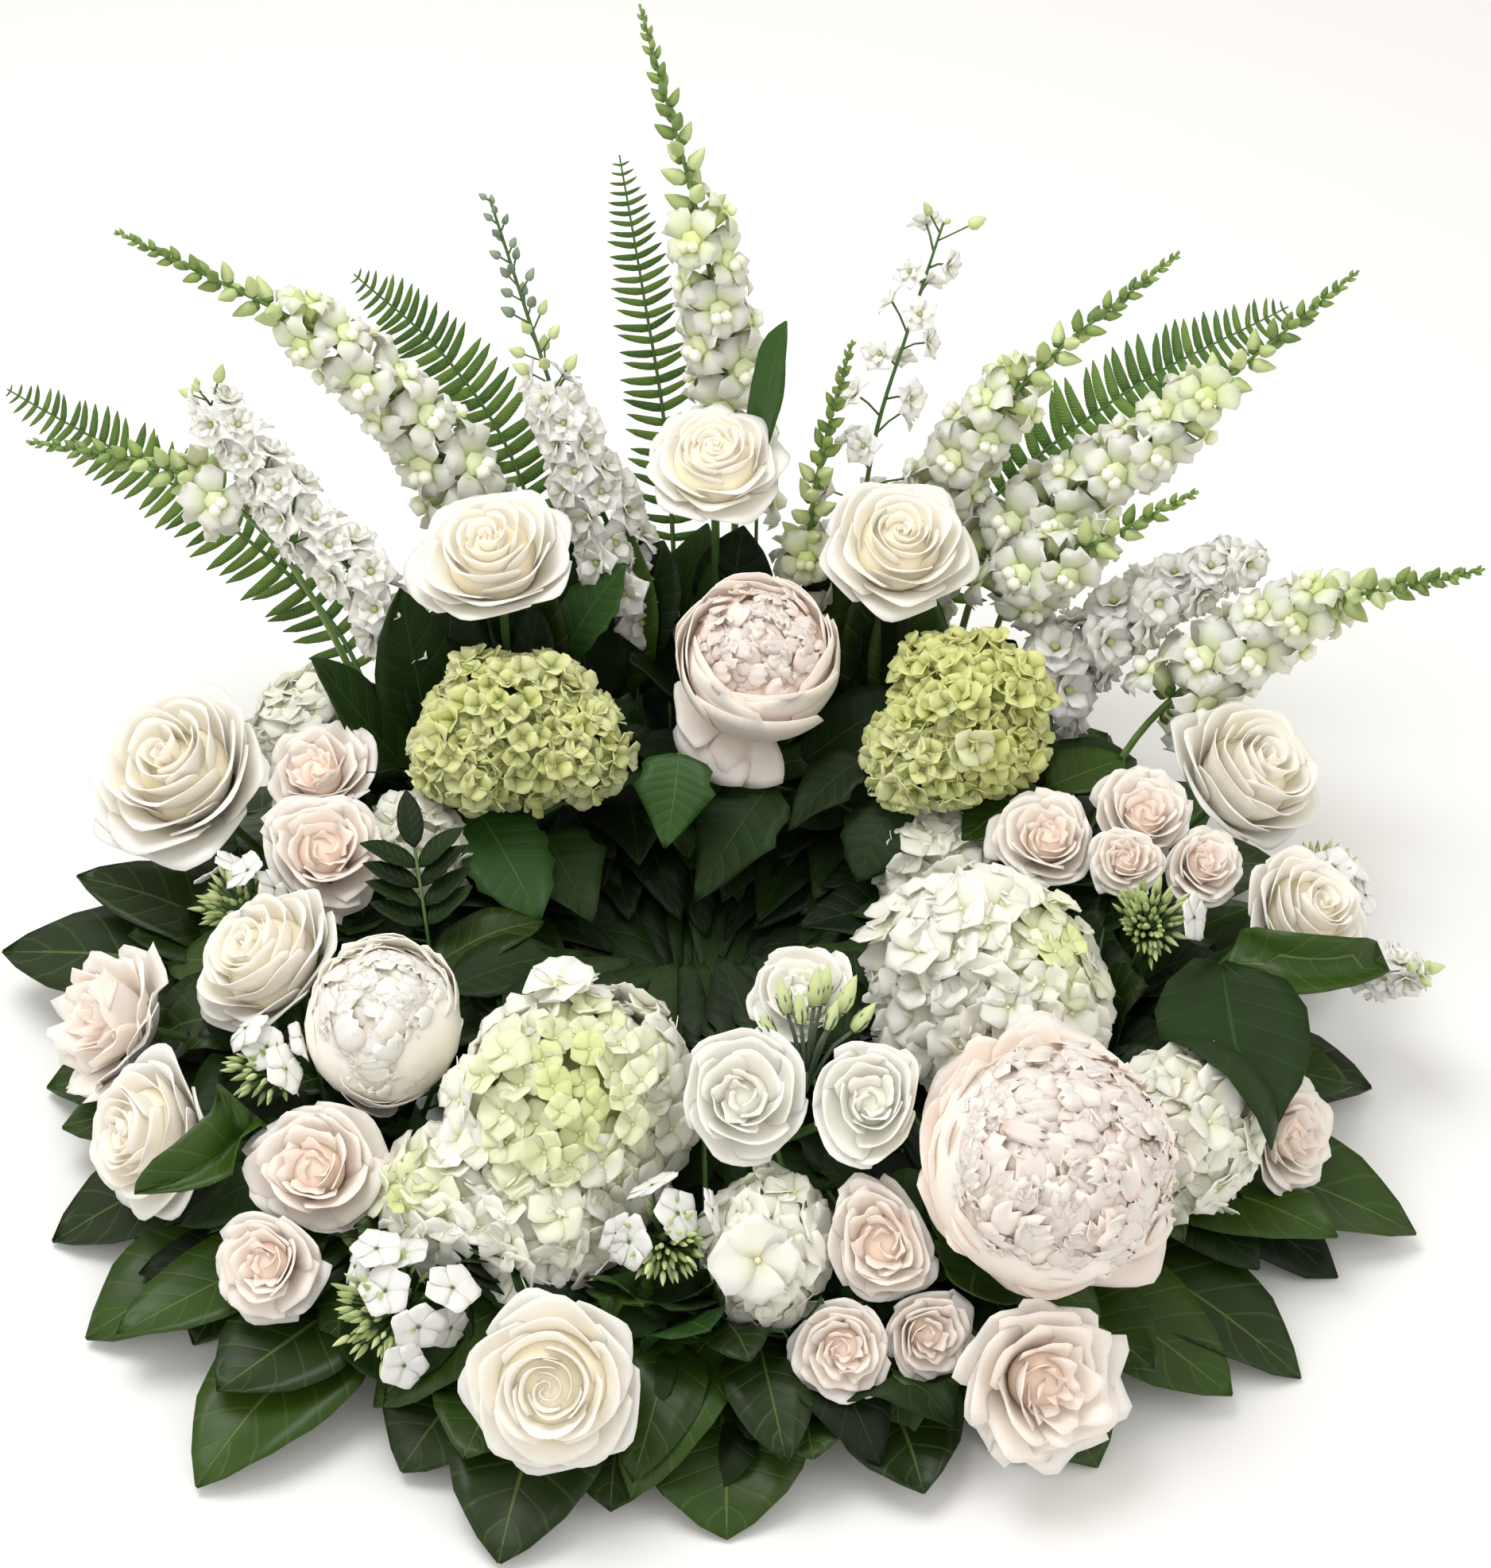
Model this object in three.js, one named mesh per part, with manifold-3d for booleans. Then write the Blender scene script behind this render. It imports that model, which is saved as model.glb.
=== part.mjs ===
// A cremation wreath: a ring of cut flowers in wet foam, laid flat round the place for an urn, with a fan of
// tall flowers and ferns rising from its back half. Millimetres, +Z up. The origin is the middle of the ring,
// on the table. The front of the wreath is towards -Y.
import * as THREE from 'three';
import Module from 'manifold-3d';

const wasm = await Module();
wasm.setup();

// Ring and tray
const FOAM_INNER = 176;
const FOAM_OUTER = 252;
const FOAM_BOTTOM = 2.8;
const FOAM_TOP = 50;
const FOAM_EDGE = 12;
const TRAY_WALL = 2;
const TRAY_FLOOR = 2.5;
const TRAY_HEIGHT = 15;
const SEAT_GAP = 0.3;
const RING_SEGMENTS = 20;

// Stems
const STEM_SIDES = 3;
const STEM_RADIUS = 2.6;
const STEM_END_HEIGHT = 24;
const HOLE_CLEARANCE = 0.7;
const SOCKET_INSET = 14;
const SPIKE_HOLE_SIDES = 4;
const SPIKE_HOLE_WIDER = 1.6;
const HOLE_EXTRA_DEPTH = 1;
const TWIG_RADIUS = 2;
const FERN_STALK_RADIUS = 2;

// Room between neighbours
const HEAD_GAP = 0.5;
const HEAD_REACH = 1.15;
const PRESSED_FROM = 0.5;
const LEAF_ROOM = 5;
const LEAF_FLOOR = 3;
const LEAF_THICKNESS = 1.1;
const SIMPLER_BY = 0.12;

// Foliage collar
const COLLAR_TWIG_RADIUS = 270;
const COLLAR_TWIG_HEIGHT = 21;

// Leaves of each branch of the collar: angle round the ring, reach of the tip, its height, width of the leaf
const COLLAR_LEAVES = [
  [[8, 372, 36, 50], [10, 392, 5, 56], [22, 386, 7, 54], [29, 366, 38, 50], [34, 380, 4, 58],
    [45, 372, 8, 56], [51, 350, 36, 48], [55, 358, 5, 54]],
  [[68, 346, 6, 56], [75, 336, 38, 50], [81, 344, 4, 58], [93, 340, 6, 56], [99, 332, 40, 48],
    [105, 346, 8, 56], [114, 340, 5, 54]],
  [[126, 352, 5, 56], [132, 346, 38, 50], [138, 368, 7, 58], [149, 380, 5, 56], [157, 372, 44, 52],
    [161, 384, 8, 54], [168, 377, 58, 48], [174, 413, 34, 66]],
  [[186, 376, 8, 56], [194, 364, 28, 52], [203, 382, 5, 56], [214, 388, 5, 58], [218, 380, 34, 42],
    [228, 362, 30, 60], [231, 398, 5, 60]],
  [[244, 336, 8, 56], [250, 330, 34, 50], [255, 366, 5, 64], [263, 330, 12, 50], [273, 338, 5, 66],
    [281, 318, 34, 46], [290, 340, 14, 54]],
  [[305, 360, 5, 62], [312, 352, 40, 50], [317, 380, 16, 56], [323, 398, 6, 52], [333, 384, 38, 50],
    [339, 420, 12, 60], [350, 372, 38, 54], [354, 388, 6, 56]],
];

// Branches that rise from the collar between the flowers, by the number of their spray
const EXTRA_BRANCHES = {
  3: [
    {
      path: [[-222, -154, 21], [-226, -146, 60], [-222, -141, 84]],
      leaves: [{ tip: [-290, -184, 84], width: 44 }],
    },
  ],
  5: [
    {
      path: [[263, -59, 21], [280, -42, 64], [290, -34, 102]],
      leaves: [{ tip: [293, -158, 96], width: 76 }, { tip: [384, -34, 98], width: 46 }],
    },
  ],
};

// Large roses: centre of the bloom, the way it faces, its radius
const ROSES = {
  rose_back_middle: { at: [9, 230, 250], faces: [0, -0.3, 0.95], radius: 43 },
  rose_back_left: { at: [-120, 184, 215], faces: [-0.1, -0.3, 0.95], radius: 44 },
  rose_back_right: { at: [116, 196, 215], faces: [0.1, -0.4, 0.9], radius: 43 },
  rose_left_high: { at: [-302, 103, 120], faces: [-0.25, -0.3, 0.92], radius: 49 },
  rose_left_middle: { at: [-234, -43, 112], faces: [-0.5, -0.15, 0.85], radius: 44 },
  rose_left_low: { at: [-289, -132, 72], faces: [-0.7, -0.45, 0.55], radius: 42 },
  rose_front: { at: [-68, -294, 72], faces: [-0.05, -0.7, 0.7], radius: 46 },
  rose_right_high: { at: [318, 98, 122], faces: [0.45, -0.2, 0.86], radius: 44 },
  rose_right: { at: [342, 7, 100], faces: [0.45, -0.3, 0.82], radius: 38 },
};

// Spray roses: several small blooms on one branching stem
const SPRAY_ROSES = {
  spray_rose_left: [
    { at: [-222, 100, 122], faces: [-0.1, -0.35, 0.93], radius: 29 },
    { at: [-214, 47, 112], faces: [0.1, -0.5, 0.86], radius: 33 },
  ],
  spray_rose_left_front: [
    { at: [-197, -169, 86], faces: [-0.1, -0.6, 0.8], radius: 32 },
    { at: [-219, -213, 64], faces: [-0.25, -0.6, 0.75], radius: 25 },
  ],
  spray_rose_front_right: [
    { at: [97, -222, 92], faces: [0, -0.55, 0.83], radius: 31 },
    { at: [76, -263, 60], faces: [0, -0.7, 0.7], radius: 23 },
    { at: [118, -256, 62], faces: [0.1, -0.75, 0.65], radius: 21 },
    { at: [174, -285, 62], faces: [0.25, -0.7, 0.66], radius: 35 },
  ],
  spray_rose_right: [
    { at: [254, 58, 128], faces: [0.1, -0.4, 0.9], radius: 26 },
    { at: [241, 24, 126], faces: [0, -0.5, 0.85], radius: 19 },
    { at: [285, 30, 116], faces: [0.2, -0.5, 0.84], radius: 21 },
    { at: [198, 44, 122], faces: [-0.1, -0.45, 0.88], radius: 27 },
  ],
  spray_rose_low_right: [{ at: [319, -122, 60], faces: [0.6, -0.5, 0.6], radius: 26 }],
  spray_rose_left_edge: [{ at: [-324, -50, 72], faces: [-0.8, -0.25, 0.55], radius: 37 }],
};

// Peonies: the outer cup and the ruffled middle
const PEONIES = {
  peony_back: { at: [35, 148, 170], faces: [0.02, -0.35, 0.93], radius: 49, form: 'bowl' },
  peony_left: { at: [-166, -98, 120], faces: [0.05, -0.6, 0.8], radius: 45, form: 'globe' },
  peony_front_right: { at: [172, -197, 122], faces: [0.1, -0.55, 0.83], radius: 66, form: 'open' },
};

// Hydrangea heads: number of florets on each
const HYDRANGEAS = {
  hydrangea_left_front: { at: [-66, -146, 100], faces: [0, -0.35, 0.93], radius: 74, florets: 13 },
  hydrangea_right: { at: [164, -44, 98], faces: [0, -0.25, 0.96], radius: 71, florets: 13 },
  hydrangea_lime_left: { at: [-111, 122, 142], faces: [0.05, -0.5, 0.86], radius: 58, florets: 12 },
  hydrangea_lime_right: { at: [155, 118, 152], faces: [-0.05, -0.5, 0.86], radius: 56, florets: 12 },
  hydrangea_left_inner: { at: [-165, 73, 92], faces: [0.2, -0.5, 0.84], radius: 30, florets: 6 },
  hydrangea_right_low: { at: [262, -137, 80], faces: [0.35, -0.5, 0.8], radius: 39, florets: 7 },
  hydrangea_front: { at: [40, -217, 78], faces: [0, -0.6, 0.8], radius: 37, florets: 6 },
  hydrangea_left_back: { at: [-232, 160, 110], faces: [-0.2, 0.1, 0.95], radius: 33, florets: 6 },
  hydrangea_right_inner: { at: [137, 75, 82], faces: [-0.3, -0.3, 0.9], radius: 32, florets: 6 },
};

// One branching lisianthus stem: three blooms and a bunch of buds
const LISIANTHUS = [
  { at: [26, -166, 140], faces: [0, -0.6, 0.8], radius: 31 },
  { at: [91, -172, 142], faces: [0.05, -0.55, 0.84], radius: 29 },
  { at: [57, -100, 146], faces: [-0.1, -0.3, 0.95], radius: 31 },
];
const LISIANTHUS_BUDS = { from: [58, -150, 128], tips: [[42, -128, 172], [62, -132, 178], [84, -124, 172]] };

// Phlox: flat bunches of small flowers and pointed buds
const PHLOX = {
  phlox_left: [
    { at: [-224, -113, 106], faces: [-0.2, -0.5, 0.84], radius: 27, florets: 5 },
    { at: [-258, 14, 100], faces: [-0.3, -0.2, 0.93], radius: 27, florets: 5 },
  ],
  phlox_front_left: [{ at: [-151, -246, 70], faces: [-0.1, -0.6, 0.8], radius: 34, florets: 7 }],
  phlox_front: [{ at: [-14, -223, 98], faces: [0.1, -0.6, 0.8], radius: 29, florets: 6 }],
  phlox_right: [{ at: [251, -20, 120], faces: [0.1, -0.4, 0.9], radius: 25, florets: 5 }],
  phlox_right_edge: [{ at: [362, 57, 80], faces: [0.4, -0.1, 0.9], radius: 26, florets: 5 }],
};

// How far each head of florets is turned on its stem, in degrees
const HEAD_TURNS = {
  hydrangea_left_front: 0,
  hydrangea_right: 28,
  hydrangea_lime_left: 0,
  hydrangea_lime_right: 50,
  hydrangea_left_inner: 120,
  hydrangea_right_low: 28,
  hydrangea_front: 0,
  hydrangea_left_back: 0,
  hydrangea_right_inner: 0,
  phlox_left: 50,
  phlox_front_left: 0,
  phlox_front: 50,
  phlox_right: 0,
  phlox_right_edge: 50,
};

// Spikes: the points of each stem from the foam to its tip
const SNAPDRAGONS = {
  snapdragon_middle: [[20, 236], [18, 302, 238], [2, 310, 355], [-33, 354, 480]],
  snapdragon_left: [[-112, 208], [-140, 270, 185], [-204, 267, 300], [-323, 243, 400]],
  snapdragon_far_left: [[-172, 162], [-252, 226, 190], [-306, 230, 244], [-391, 226, 270]],
  snapdragon_right: [[108, 211], [142, 268, 190], [191, 258, 290], [274, 269, 370]],
  snapdragon_right_wide: [[146, 186], [174, 247, 160], [262, 243, 255], [373, 250, 370]],
  snapdragon_right_low: [[168, 166], [186, 218, 160], [226, 196, 214], [288, 196, 256]],
  snapdragon_far_right: [[216, 96], [262, 150, 110], [340, 158, 190], [421, 66, 300]],
  snapdragon_middle_right: [[64, 227], [66, 236, 205], [76, 242, 270], [88, 240, 330]],
};
const DELPHINIUMS = {
  delphinium_left: [[-150, 183], [-184, 196, 160], [-243, 215, 235], [-289, 236, 300]],
  delphinium_middle_left: [[-44, 232], [-46, 238, 160], [-80, 262, 255], [-120, 303, 385]],
  delphinium_middle_right: [[84, 221], [104, 272, 235], [122, 280, 310], [140, 285, 380]],
  delphinium_far_right: [[236, 26], [312, 24, 44], [376, -2, 62], [402, -34, 96]],
};
const STOCK = [[200, 128], [212, 184, 120], [256, 196, 165], [325, 190, 215]];

// Sword ferns: spine of each frond and half its width
const FERNS = {
  fern_middle: { spine: [[-14, 236], [-22, 312, 210], [-34, 332, 300], [-47, 352, 385]], half: 24 },
  fern_left: { spine: [[-78, 223], [-115, 309, 190], [-157, 330, 260], [-206, 326, 320]], half: 33 },
  fern_far_left: { spine: [[-184, 151], [-228, 262, 95], [-305, 282, 180], [-412, 279, 270]], half: 31 },
  fern_right: { spine: [[128, 199], [166, 306, 140], [253, 325, 230], [352, 322, 300]], half: 35 },
};

// Colours of the plain materials
const COLOURS = {
  tray: 0x2f3a2e,
  foam: 0x4c6b3f,
  white: 0xf1eee4,
  cream: 0xeee3d6,
  blush: 0xf1e4de,
  lime: 0xc9d38a,
  spike: 0xe6e9d8,
  leaf: 0x2c4423,
  fern: 0x5b7f3b,
};
const PETAL_ROUGHNESS = 0.7;
const LEAF_ROUGHNESS = 0.4;
const TRAY_ROUGHNESS = 0.5;
const FOAM_ROUGHNESS = 0.95;

const group = new THREE.Group();
const stemHoles = [];

// Seeded random draws, the same on every run
let seed = 20260;
function draw(low, high) {
  seed = (seed * 16807) % 2147483647;
  return low + (high - low) * (seed / 2147483647);
}

function point(list) {
  return new THREE.Vector3(list[0], list[1], list[2] ?? 0);
}

function polar(radius, degrees, height) {
  const angle = THREE.MathUtils.degToRad(degrees);
  return new THREE.Vector3(radius * Math.cos(angle), radius * Math.sin(angle), height);
}

// A closed solid from its corners and outward triangles
function solidFrom(points, faces) {
  const vertProperties = new Float32Array(points.flatMap((corner) => [corner.x, corner.y, corner.z]));
  const triVerts = new Uint32Array(faces.flat());
  return new wasm.Manifold(new wasm.Mesh({ numProp: 3, vertProperties, triVerts }));
}

// A closed surface through a stack of rings, from a bottom point up to a top point
function lofted(bottom, rings, top) {
  const sides = rings[0].length;
  const points = [bottom, ...rings.flat(), top];
  const faces = [];
  const at = (ring, side) => 1 + ring * sides + (side % sides);
  for (let side = 0; side < sides; side += 1) {
    faces.push([0, at(0, side + 1), at(0, side)]);
    for (let ring = 0; ring < rings.length - 1; ring += 1) {
      faces.push([at(ring, side), at(ring, side + 1), at(ring + 1, side + 1)]);
      faces.push([at(ring, side), at(ring + 1, side + 1), at(ring + 1, side)]);
    }
    faces.push([points.length - 1, at(rings.length - 1, side), at(rings.length - 1, side + 1)]);
  }
  return solidFrom(points, faces);
}

// A tube along a row of points, with a radius for each point
function tube(path, radii, sides = STEM_SIDES) {
  const rings = [];
  let across = new THREE.Vector3(1, 0.2, 0.1);
  path.forEach((centre, index) => {
    const before = path[Math.max(index - 1, 0)];
    const after = path[Math.min(index + 1, path.length - 1)];
    const along = after.clone().sub(before).normalize();
    across = across.clone().addScaledVector(along, -across.dot(along)).normalize();
    const upward = along.clone().cross(across);
    const ring = [];
    for (let side = 0; side < sides; side += 1) {
      const angle = (side / sides) * Math.PI * 2;
      ring.push(centre.clone()
        .addScaledVector(across, radii[index] * Math.cos(angle))
        .addScaledVector(upward, radii[index] * Math.sin(angle)));
    }
    rings.push(ring);
  });
  return lofted(path[0], rings, path[path.length - 1]);
}

function joined(solids) {
  return solids.reduce((whole, solid) => whole.add(solid));
}

// One body: the largest closed shell, without loose scraps or sealed hollows
function oneBody(solid) {
  const pieces = solid.decompose();
  return pieces.reduce((best, piece) => (piece.volume() > best.volume() ? piece : best));
}

// The turn and place that put a shape facing +Z on its stem
function pose(at, faces, spin = 0) {
  const upward = new THREE.Vector3(0, 0, 1);
  const turn = new THREE.Quaternion().setFromUnitVectors(upward, point(faces).normalize());
  turn.multiply(new THREE.Quaternion().setFromAxisAngle(upward, spin));
  return new THREE.Matrix4().compose(point(at), turn, new THREE.Vector3(1, 1, 1));
}

function placed(solid, matrix) {
  return solid.transform(matrix.elements.slice());
}

function addPiece(name, solid, colour, roughness = PETAL_ROUGHNESS) {
  const mesh = oneBody(solid).simplify(SIMPLER_BY).getMesh();
  const geometry = new THREE.BufferGeometry();
  geometry.setAttribute('position', new THREE.BufferAttribute(mesh.vertProperties, 3));
  geometry.setIndex(new THREE.BufferAttribute(mesh.triVerts, 1));
  geometry.computeVertexNormals();
  const material = new THREE.MeshStandardMaterial({ color: colour, roughness, metalness: 0 });
  const piece = new THREE.Mesh(geometry, material);
  piece.name = name;
  group.add(piece);
}

// Every head is a ball that its neighbours keep clear of
const balls = [];
function addBalls(heads) {
  heads.forEach((head) => balls.push({ centre: point(head.at), radius: head.radius }));
}
addBalls(Object.values({ ...ROSES, ...PEONIES, ...HYDRANGEAS }));
addBalls([...Object.values({ ...SPRAY_ROSES, ...PHLOX }), LISIANTHUS].flat());

// Petals press flat where two heads meet: each stays on its own side of the plane between them
function pressed(solid, head) {
  const centre = point(head.at);
  const planes = [];
  balls.filter((ball) => ball.centre.distanceTo(centre) > 1).forEach((ball) => {
    const away = ball.centre.clone().sub(centre);
    const distance = away.length();
    const room = (distance ** 2 + head.radius ** 2 - ball.radius ** 2) / (2 * distance) - HEAD_GAP;
    if (room < head.radius * HEAD_REACH) {
      planes.push({ away: away.normalize(), room });
    }
  });
  const reach = head.radius * HEAD_REACH;
  return solid.warp((corner) => {
    const offset = point(corner).sub(centre);
    for (let round = 0; round < 3; round += 1) {
      planes.forEach(({ away, room }) => {
        const start = room - head.radius * PRESSED_FROM;
        const depth = offset.dot(away);
        if (depth > start) {
          const squeezed = start + (depth - start) * ((room - start) / (reach - start));
          offset.addScaledVector(away, Math.min(round === 0 ? squeezed : depth, room) - depth);
        }
      });
    }
    offset.add(centre);
    corner[0] = offset.x;
    corner[1] = offset.y;
    corner[2] = offset.z;
  });
}

// A stem from the back of a head down into the foam
function stemInto(head, backDepth) {
  const centre = point(head.at);
  const back = centre.clone().addScaledVector(point(head.faces).normalize(), -backDepth);
  const flat = Math.hypot(back.x, back.y);
  const radius = THREE.MathUtils.clamp(flat, FOAM_INNER + SOCKET_INSET, FOAM_OUTER - SOCKET_INSET);
  const end = new THREE.Vector3(back.x * radius / flat, back.y * radius / flat, STEM_END_HEIGHT);
  return [centre, back, end];
}

// The stem's own tube, and the hole that it stands in
function stem(path, radius = STEM_RADIUS) {
  const last = path[path.length - 1];
  const along = last.clone().sub(path[path.length - 2]).normalize();
  const holePath = [...path.slice(0, -1), last.clone().addScaledVector(along, HOLE_EXTRA_DEPTH)];
  stemHoles.push(tube(holePath, holePath.map(() => radius + HOLE_CLEARANCE)));
  return tube(path, path.map(() => radius));
}

// One ring of petal tips and notches: a radius, a height, and lobes that widen and lift it
const LOBE_MIDDLE = 0.6;
function lobedRing(size, sides, petals, ring) {
  const corners = [];
  for (let side = 0; side < sides; side += 1) {
    const angle = ((side + (ring.turn ?? 0)) / sides) * Math.PI * 2;
    const phase = (side * petals / sides) % 1;
    const lobe = phase < 0.01 || phase > 0.99 ? 0 : 1;
    const rough = size * (ring.rough ?? 0);
    const outward = (lobe - LOBE_MIDDLE) * size;
    const radius = size * ring.radius + outward * (ring.wide ?? 0) + draw(-1, 1) * rough;
    const height = size * ring.height + outward * (ring.lift ?? 0) + draw(-1, 1) * rough;
    corners.push(new THREE.Vector3(radius * Math.cos(angle), radius * Math.sin(angle), height));
  }
  return corners;
}

function layeredBloom(size, sides, petals, profile) {
  const rings = profile.rings.map((ring) => lobedRing(size, sides, petals, ring));
  const bottom = new THREE.Vector3(0, 0, size * profile.bottom);
  const top = new THREE.Vector3(0, 0, size * profile.top);
  return lofted(bottom, rings, top);
}

// Layers of rose petals, each lip standing out over a crevice
const ROSE_PROFILE = {
  bottom: -0.66,
  top: 0.4,
  rings: [
    { radius: 0.98, height: 0.06, wide: 0.1, lift: -0.06 },
    { radius: 0.78, height: 0.05, turn: 0.5 },
    { radius: 0.74, height: 0.38, wide: 0.08, turn: 0.5 },
    { radius: 0.52, height: 0.24, turn: 1 },
    { radius: 0.48, height: 0.56, wide: 0.07, turn: 1 },
    { radius: 0.28, height: 0.38, turn: 1.5 },
    { radius: 0.2, height: 0.6, wide: 0.05, turn: 1.5 },
  ],
};
const SPRAY_PROFILE = {
  bottom: -0.62,
  top: 0.36,
  rings: [
    { radius: 0.97, height: 0.1, wide: 0.12, lift: -0.05 },
    { radius: 0.7, height: 0.1, turn: 0.5 },
    { radius: 0.66, height: 0.46, wide: 0.12, turn: 0.5 },
    { radius: 0.4, height: 0.3, turn: 1 },
    { radius: 0.3, height: 0.58, wide: 0.08, turn: 1 },
  ],
};
const BUD_ROSE_PROFILE = {
  bottom: -0.62,
  top: 0.34,
  rings: [
    { radius: 0.97, height: 0.12, wide: 0.12, lift: -0.05 },
    { radius: 0.56, height: 0.1, turn: 0.5 },
    { radius: 0.48, height: 0.5, wide: 0.12, turn: 0.5 },
  ],
};
const BUD_ROSE_RADIUS = 25;
const PEONY_PROFILES = {
  bowl: {
    bottom: -0.8,
    top: 0.42,
    rings: [
      { radius: 0.55, height: -0.66 },
      { radius: 0.97, height: -0.25, wide: 0.05 },
      { radius: 0.95, height: 0.3, wide: 0.06, rough: 0.02 },
      { radius: 0.78, height: 0.2, turn: 0.5 },
      { radius: 0.76, height: 0.55, wide: 0.08, rough: 0.03, turn: 0.5 },
      { radius: 0.55, height: 0.42, turn: 1 },
      { radius: 0.52, height: 0.68, wide: 0.1, rough: 0.04, turn: 1 },
      { radius: 0.28, height: 0.5, turn: 1.5 },
      { radius: 0.22, height: 0.66, wide: 0.08, rough: 0.03, turn: 1.5 },
    ],
  },
  globe: {
    bottom: -0.85,
    top: 0.7,
    rings: [
      { radius: 0.6, height: -0.68 },
      { radius: 0.96, height: -0.3, wide: 0.08, rough: 0.02 },
      { radius: 0.84, height: -0.12, turn: 0.5 },
      { radius: 0.95, height: 0.16, wide: 0.08, rough: 0.03, turn: 0.5 },
      { radius: 0.76, height: 0.28, turn: 1 },
      { radius: 0.76, height: 0.56, wide: 0.1, rough: 0.04, turn: 1 },
      { radius: 0.5, height: 0.6, turn: 1.5 },
      { radius: 0.42, height: 0.86, wide: 0.12, rough: 0.04, turn: 1.5 },
    ],
  },
  open: {
    bottom: -0.5,
    top: 0.5,
    rings: [
      { radius: 0.5, height: -0.4 },
      { radius: 0.97, height: -0.02, wide: 0.12, lift: -0.06, rough: 0.03 },
      { radius: 0.78, height: 0.02, turn: 0.5 },
      { radius: 0.84, height: 0.22, wide: 0.12, rough: 0.03, turn: 0.5 },
      { radius: 0.64, height: 0.16, turn: 1 },
      { radius: 0.64, height: 0.44, wide: 0.12, rough: 0.04, turn: 1 },
      { radius: 0.44, height: 0.34, turn: 1.5 },
      { radius: 0.42, height: 0.6, wide: 0.1, rough: 0.04, turn: 1.5 },
      { radius: 0.22, height: 0.44, turn: 2 },
      { radius: 0.16, height: 0.62, wide: 0.06, rough: 0.03, turn: 2 },
    ],
  },
};
const ROSE_SIDES = 10;
const ROSE_PETALS = 5;
const PEONY_SIDES = 14;
const PEONY_PETALS = 7;
const SPRAY_BACK = 0.6;

function bloom(head, sides, petals, profile) {
  const shape = layeredBloom(head.radius, sides, petals, profile);
  const turned = placed(shape, pose(head.at, head.faces, draw(0, Math.PI)));
  return pressed(turned, head);
}

for (const [name, head] of Object.entries(ROSES)) {
  const flower = bloom(head, ROSE_SIDES, ROSE_PETALS, ROSE_PROFILE);
  addPiece(name, flower.add(stem(stemInto(head, -head.radius * ROSE_PROFILE.bottom))), COLOURS.white);
}
for (const [name, head] of Object.entries(PEONIES)) {
  const profile = PEONY_PROFILES[head.form];
  const flower = bloom(head, PEONY_SIDES, PEONY_PETALS, profile);
  addPiece(name, flower.add(stem(stemInto(head, -head.radius * profile.bottom))), COLOURS.blush);
}

const FORK_SHARE = 0.3;

// Several heads on one stem: each branch leaves the main stem at its fork
function branching(heads, solids, backDepth) {
  const main = stemInto(heads[0], heads[0].radius * backDepth);
  const fork = main[1].clone().lerp(main[2], FORK_SHARE);
  const parts = [...solids, stem(main)];
  heads.slice(1).forEach((head) => {
    const [centre, back] = stemInto(head, head.radius * backDepth);
    parts.push(tube([centre, back, fork], [STEM_RADIUS, STEM_RADIUS, STEM_RADIUS]));
  });
  return joined(parts);
}

for (const [name, heads] of Object.entries(SPRAY_ROSES)) {
  const flowers = heads.map((head) => bloom(head, ROSE_SIDES, ROSE_PETALS,
    head.radius > BUD_ROSE_RADIUS ? SPRAY_PROFILE : BUD_ROSE_PROFILE));
  addPiece(name, branching(heads, flowers, SPRAY_BACK), COLOURS.cream);
}

// A floret: petals round a dimple, over a slim pyramid that runs down from the notches between them
function floret(radius, depth, petals, notch = 0.5, dimple = 0.12) {
  const points = [new THREE.Vector3(0, 0, -depth), new THREE.Vector3(0, 0, -radius * dimple)];
  const faces = [];
  const rim = petals * 2;
  for (let side = 0; side < rim; side += 1) {
    const angle = (side / rim) * Math.PI * 2;
    const tip = side % 2 === 1;
    const reach = (tip ? radius : radius * notch) * draw(0.93, 1.05);
    points.push(new THREE.Vector3(reach * Math.cos(angle), reach * Math.sin(angle), tip ? radius * 0.1 : 0));
    const here = 2 + side;
    const next = 2 + (side + 1) % rim;
    faces.push([1, here, next]);
    if (!tip) {
      const after = 2 + (side + 2) % rim;
      faces.push([here, after, next], [here, 0, after]);
    }
  }
  return solidFrom(points, faces);
}

// Points spread evenly over a head, from the way that it faces down past its rim
function spreadDirections(count, lowest) {
  const directions = [];
  const goldenTurn = Math.PI * (3 - Math.sqrt(5));
  for (let index = 0; index < count; index += 1) {
    const height = 1 - (index + 0.5) * ((1 - lowest) / count);
    const flat = Math.sqrt(1 - height ** 2);
    const angle = goldenTurn * index;
    directions.push(new THREE.Vector3(flat * Math.cos(angle), flat * Math.sin(angle), height));
  }
  return directions;
}

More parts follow.
